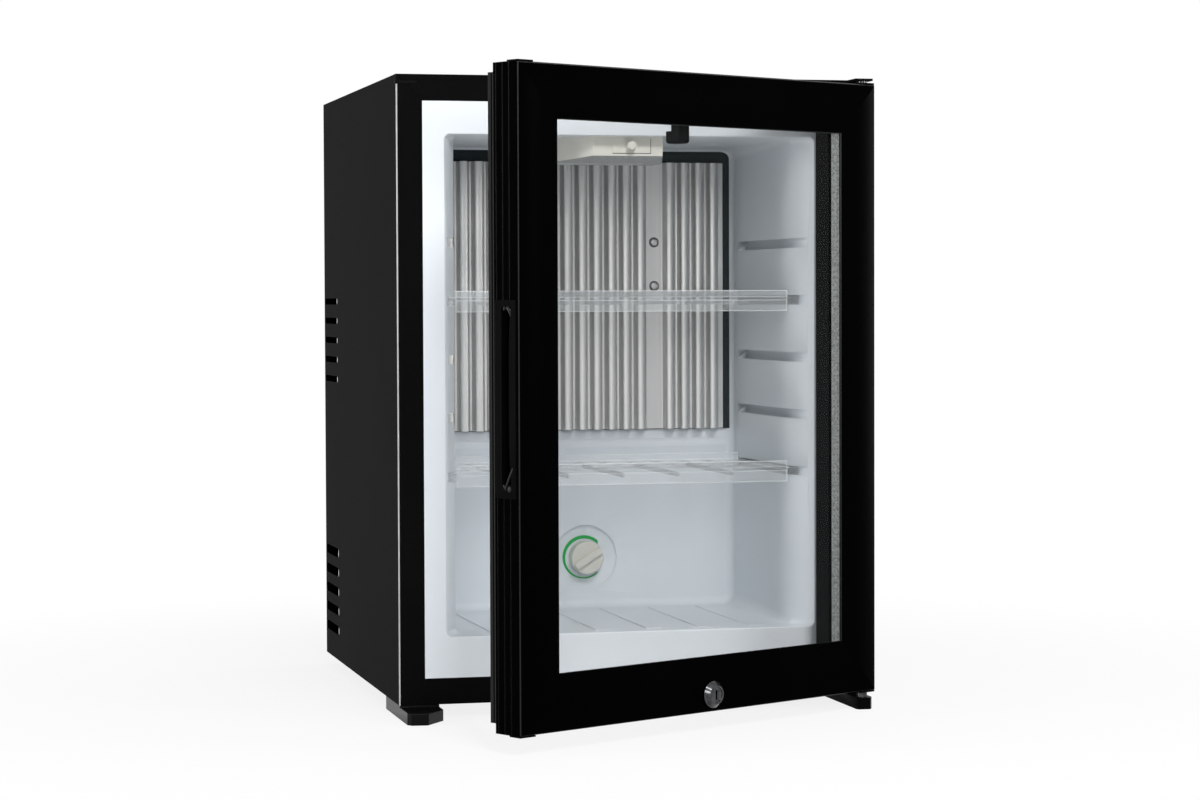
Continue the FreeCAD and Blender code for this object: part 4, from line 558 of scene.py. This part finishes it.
def block(bm, low, high):
    """A closed box between two corners."""
    lower, upper = rectangle(bm, low, high, low[2]), rectangle(bm, low, high, high[2])
    bm.faces.new(lower[::-1])
    bm.faces.new(upper)
    stitch(bm, lower, upper)


def slot_rim(bm, low, high, z):
    """A bead round a slot, half a millimetre proud of the plate."""
    rings = []
    for grow, up in ((0, apart), (0, bead), (bead, bead), (bead, apart)):
        outer_low, outer_high = (low[0] - grow, low[1] - grow), (high[0] + grow, high[1] + grow)
        rings.append(rectangle(bm, outer_low, outer_high, z + up))
    for first, second in zip(rings, rings[1:] + rings[:1]):
        stitch(bm, first, second)


def clear_shelf(node):
    low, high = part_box(node)
    front, back, reach = low[1], high[1], high[0]
    half = reach - 10.3 * mm
    wall = 2.6 * mm
    top = low[2] + 12.6 * mm
    under = top - wall
    runner_height = 6.8 * mm
    rib_height = 4 * mm
    rib_half = 1.1 * mm
    bay = 2 * half / shelf_bays

    outline = [(front, low[2]), (front + wall, low[2]), (front + wall, under), (back, under),
               (back, high[2]), (back - wall, high[2]), (back - wall, top), (front + wall, top),
               (front + wall, high[2]), (front, high[2])]
    bm = bmesh.new()
    left, right = ([bm.verts.new((x, y, z)) for y, z in outline] for x in (-half, half))
    stitch(bm, left, right)
    bm.faces.new(left)
    bm.faces.new(right)
    for side in (-1, 1):
        near, far = sorted((side * (half + apart), side * reach))
        block(bm, (near, front + 2 * mm, top - runner_height), (far, back, top))
    for i in range(1, shelf_bays):
        x = -half + bay * i
        block(bm, (x - rib_half, front + wall + apart, under - rib_height),
              (x + rib_half, back, under - apart))
    name = node + "_tray"
    tray = link(name, closed_mesh(bm, name), [finishes["clear_shelf"], shelf_painted_highlight], body_of[node],
                (node,))
    bevel = round_edges(tray, 0.5 * mm, 2)
    bevel.limit_method = "ANGLE"
    bevel.angle_limit = math.radians(40)
    bevel.material = 1

    margin = 12 * mm
    slot_half = 2.5 * mm
    row = (back - front - 2 * margin) / shelf_rows
    slot_start, slot_end = 0.12 * row, 0.88 * row
    bm = bmesh.new()
    for i in range(2 * shelf_bays):
        x = -half + bay * (i + 0.5) / 2
        for j in range(shelf_rows):
            y = front + margin + row * j
            slot_rim(bm, (x - slot_half, y + slot_start), (x + slot_half, y + slot_end), top)
    name = node + "_slot_rims"
    link(name, closed_mesh(bm, name), [shelf_painted_highlight], body_of[node], (node,))


for part in ("lower_shelf", "upper_shelf"):
    clear_shelf(part)


# The ends of the grip, glossy and lighter than the handle as a painted highlight, in the door's own
# millimetres: depth, height, radius

grip_ends = (
    ("grip_hook", -207.3, ((17.2, 350.6, 0.5), (16.6, 352.4, 1.3), (14.6, 353.6, 1.7), (12.2, 353.0, 1.9),
                           (10.0, 350.6, 1.7), (8.6, 347.2, 1.2), (8.0, 343.6, 0.4))),
    ("grip_stay", -208.0, ((6.4, 227.4, 0.4), (6.7, 226.6, 0.8), (11.2, 219.0, 0.9), (14.4, 212.8, 0.9),
                           (14.8, 211.8, 0.4))),
    ("grip_stay_end", -208.1, ((17.6, 214.0, 0.3), (17.2, 213.0, 0.6), (15.4, 210.4, 0.7),
                               (15.0, 209.8, 0.3))),
)
stop_profile = ((0, 0.9), (1.2, 0.75), (2.2, 0.2), (2.6, -0.8), (2.2, -1.2), (0, -1.2))


def tube(name, points, radii, material):
    """A tube through the points, each with its own radius.

    Its rings are laid out from the door's depth, or from the upright where the tube itself runs inwards.
    """
    sides = 14
    bm = bmesh.new()
    rings = []
    for i, centre in enumerate(points):
        along = (points[min(i + 1, len(points) - 1)] - points[max(i - 1, 0)]).normalized()
        side = door_inward - along * door_inward.dot(along)
        if side.length < 0.2:
            side = Vector((0, 0, 1)) - along * along.z
        side.normalize()
        up = along.cross(side)
        ring = []
        for k in range(sides):
            a = 2 * math.pi * k / sides
            sideways = side * (radii[i] * math.cos(a))
            upward = up * (radii[i] * math.sin(a))
            ring.append(bm.verts.new(centre + sideways + upward))
        rings.append(ring)
    for first, second in zip(rings, rings[1:]):
        stitch(bm, first, second)
    bm.faces.new(rings[0])
    bm.faces.new(rings[-1])
    mesh = closed_mesh(bm, name)
    smooth(mesh, 60)
    link(name, mesh, [material], "door")


for name, x, stations in grip_ends:
    tube(name, [door(x * mm, w * mm, z * mm) for w, z, _ in stations], [r * mm for _, _, r in stations],
         grip_gloss_and_painted_highlight)
turned("grip_stop", [(r * mm, h * mm) for r, h in stop_profile], door(-208.1 * mm, 10.6 * mm, 210.6 * mm),
       -door_across, "door", grip_gloss_and_painted_highlight, 28)


# Painted shadow: dark strips along the right and lower sides of the switch frame

def painted_shadow_strips():
    low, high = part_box("switch_frame")
    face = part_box("lamp_housing")[0][1]
    wide = 0.7 * mm
    lap = 0.05 * mm
    front, back = face - 0.06 * mm, face + 0.1 * mm
    bm = bmesh.new()
    block(bm, (high[0] + lap, front, low[2] - wide), (high[0] + wide, back, high[2]))
    block(bm, (low[0], front, low[2] - wide), (high[0] + lap, back, low[2] - lap))
    link("switch_frame_painted_shadow", closed_mesh(bm, "switch_frame_painted_shadow"), [painted_shade_grey], "cabinet")


painted_shadow_strips()


# The evaporator's face, and a dished ring under each of its screws in dark grey, which is painted shade

flute_pitch = 14.1 * mm
first_flute, last_flute = -14, 4
valley = -3.2 * mm
screw_line = 73.6 * mm
screw_heights = (372.0, 413.0)
dish_profile = ((3.3, 0.1), (4.3, 0.3), (4.7, 0.1), (4.8, -0.1), (3.3, -0.1))


def flute_depth(x, crest):
    """Where the plate's face lies in depth at x: domed crests, steep slopes, flat narrow valleys.

    The flutes are counted from the line of the screws, where one is left out. drop is how far a dome has
    sunk at its edge, as a share of the whole depth.
    """
    nearest = round((x - screw_line) / flute_pitch)
    if nearest == 0 or not first_flute <= nearest <= last_flute:
        return valley
    share = abs(x - screw_line - nearest * flute_pitch) / (flute_pitch / 2)
    dome, slope = 0.5, 0.36
    drop = 0.09
    if share < dome:
        return crest + (valley - crest) * drop * (share / dome) ** 2
    t = min(1.0, (share - dome) / slope)
    return crest + (valley - crest) * (drop + (1 - drop) * t * t * (3 - 2 * t))


def fluted_plate():
    """The evaporator's face with its flutes, each column of faces running from top to bottom."""
    low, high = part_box("evaporator_plate")
    back = high[1]
    bottom, top = low[2] + 0.6 * mm, high[2] - 0.6 * mm
    steps = 560
    bm = bmesh.new()
    columns = []
    for i in range(steps + 1):
        x = low[0] + (high[0] - low[0]) * i / steps
        y = flute_depth(x, low[1])
        places = (x, y, bottom), (x, y, top), (x, back, top), (x, back, bottom)
        columns.append([bm.verts.new(place) for place in places])
    for first, second in zip(columns, columns[1:]):
        stitch(bm, first, second)
    bm.faces.new(columns[0])
    bm.faces.new(columns[-1])
    mesh = closed_mesh(bm, "evaporator_face")
    smooth(mesh, 50)
    link("evaporator_face", mesh, [finishes["evaporator_grey"]], "cabinet",
         ("evaporator_plate",))


fluted_plate()
# The dark grey of each ring is painted shade round its screw.
for i, z in enumerate(screw_heights):
    turned("screw_dish_%d" % i, [(r * mm, h * mm) for r, h in dish_profile], (screw_line, valley, z * mm),
           (0, -1, 0), "cabinet", painted_shade_grey, 36, close=True)


# Double glazing as one sealed unit, and the perforations of its spacer

def glazing():
    """One skin round both panes and their edge seal, in the door's own directions."""
    wide, low, high = 176.8 * mm, 46.5 * mm, 515.3 * mm
    arris = 0.4 * mm
    seal = 1.6 * mm
    bm = bmesh.new()
    rings = []
    for w, inset in ((3.5, arris), (3.9, 0), (7.5, 0), (7.5, seal), (17.5, seal), (17.5, 0), (21.1, 0),
                     (21.5, arris)):
        rings.append([bm.verts.new(door(x, w * mm, z)) for x, z in (
            (-wide + inset, low + inset), (wide - inset, low + inset), (wide - inset, high - inset),
            (-wide + inset, high - inset))])
    for first, second in zip(rings, rings[1:]):
        stitch(bm, first, second)
    bm.faces.new(rings[0])
    bm.faces.new(rings[-1])
    link("glazing", closed_mesh(bm, "glazing"), [finishes["glass"]], "door",
         ("outer_pane", "inner_pane"))


def perforations():
    """Two rows of fine holes along the spacer's inner wall, drawn as flat dark discs: painted shade."""
    inner = 169.3 * mm
    low, high = 54.0 * mm, 507.8 * mm
    pitch, radius, proud = 5.3 * mm, 0.6 * mm, 0.03 * mm
    corners = 6
    angles = [2 * math.pi * k / corners for k in range(corners)]
    outline = [(radius * math.cos(a), radius * math.sin(a)) for a in angles]
    bm = bmesh.new()
    for w in (10.6 * mm, 14.4 * mm):
        for i in range(int((high - low) / pitch) - 1):
            z = low + pitch * (i + 1)
            for x in (inner - proud, -inner + proud):
                bm.faces.new([bm.verts.new(door(x, w + a, z + b)) for a, b in outline])
        for i in range(int(2 * inner / pitch) - 1):
            x = -inner + pitch * (i + 1)
            for z in (low + proud, high - proud):
                bm.faces.new([bm.verts.new(door(x + a, w + b, z)) for a, b in outline])
    link("spacer_holes", closed_mesh(bm, "spacer_holes"), [painted_hole_shade], "door")


glazing()
perforations()


# Round pieces, whose facets are smoothed

for part in ("inner_liner", "evaporator_seal", "boiler_jacket", "heater_cartridge", "condenser",
             "absorber_coil", "absorber_vessel", "evaporator_tube", "drain_tube", "case_screws",
             "hinge_bushes", "lock_cam", "lock_strike", "evaporator_screws"):
    refined(part, smooth_angle=20 if part == "inner_liner" else smooth_below)


# Floor: it takes the shadows near the object and glows white further out

floor_size = 24
shadow_radius, white_radius = 0.25, 1.0
least_glow = 0.84


def floor():
    bpy.ops.mesh.primitive_plane_add(size=floor_size)
    ground = bpy.context.object
    ground.name = "floor"
    material, tree, shader = new_material("pale_floor")
    shader.inputs["Base Color"].default_value = (*grey(0.93), 1)
    shader.inputs["Roughness"].default_value = 0.7
    shader.inputs["Specular IOR Level"].default_value = 0.1
    light = tree.nodes.new("ShaderNodeEmission")
    light.inputs["Strength"].default_value = 1.0
    place = tree.nodes.new("ShaderNodeTexCoord")
    length = tree.nodes.new("ShaderNodeVectorMath")
    length.operation = "LENGTH"
    tree.links.new(place.outputs["Object"], length.inputs[0])
    glow = tree.nodes.new("ShaderNodeMapRange")
    glow.interpolation_type = "SMOOTHSTEP"
    glow.inputs["From Min"].default_value = shadow_radius
    glow.inputs["From Max"].default_value = white_radius
    glow.inputs["To Min"].default_value = least_glow
    tree.links.new(length.outputs["Value"], glow.inputs["Value"])
    share = math_node(tree, "MULTIPLY", seen_directly(tree), glow.outputs["Result"])
    surface = tree.nodes["Material Output"].inputs[0]
    mixed_shaders(tree, share, shader.outputs[0], light.outputs[0], surface)
    ground.data.materials.append(material)


floor()
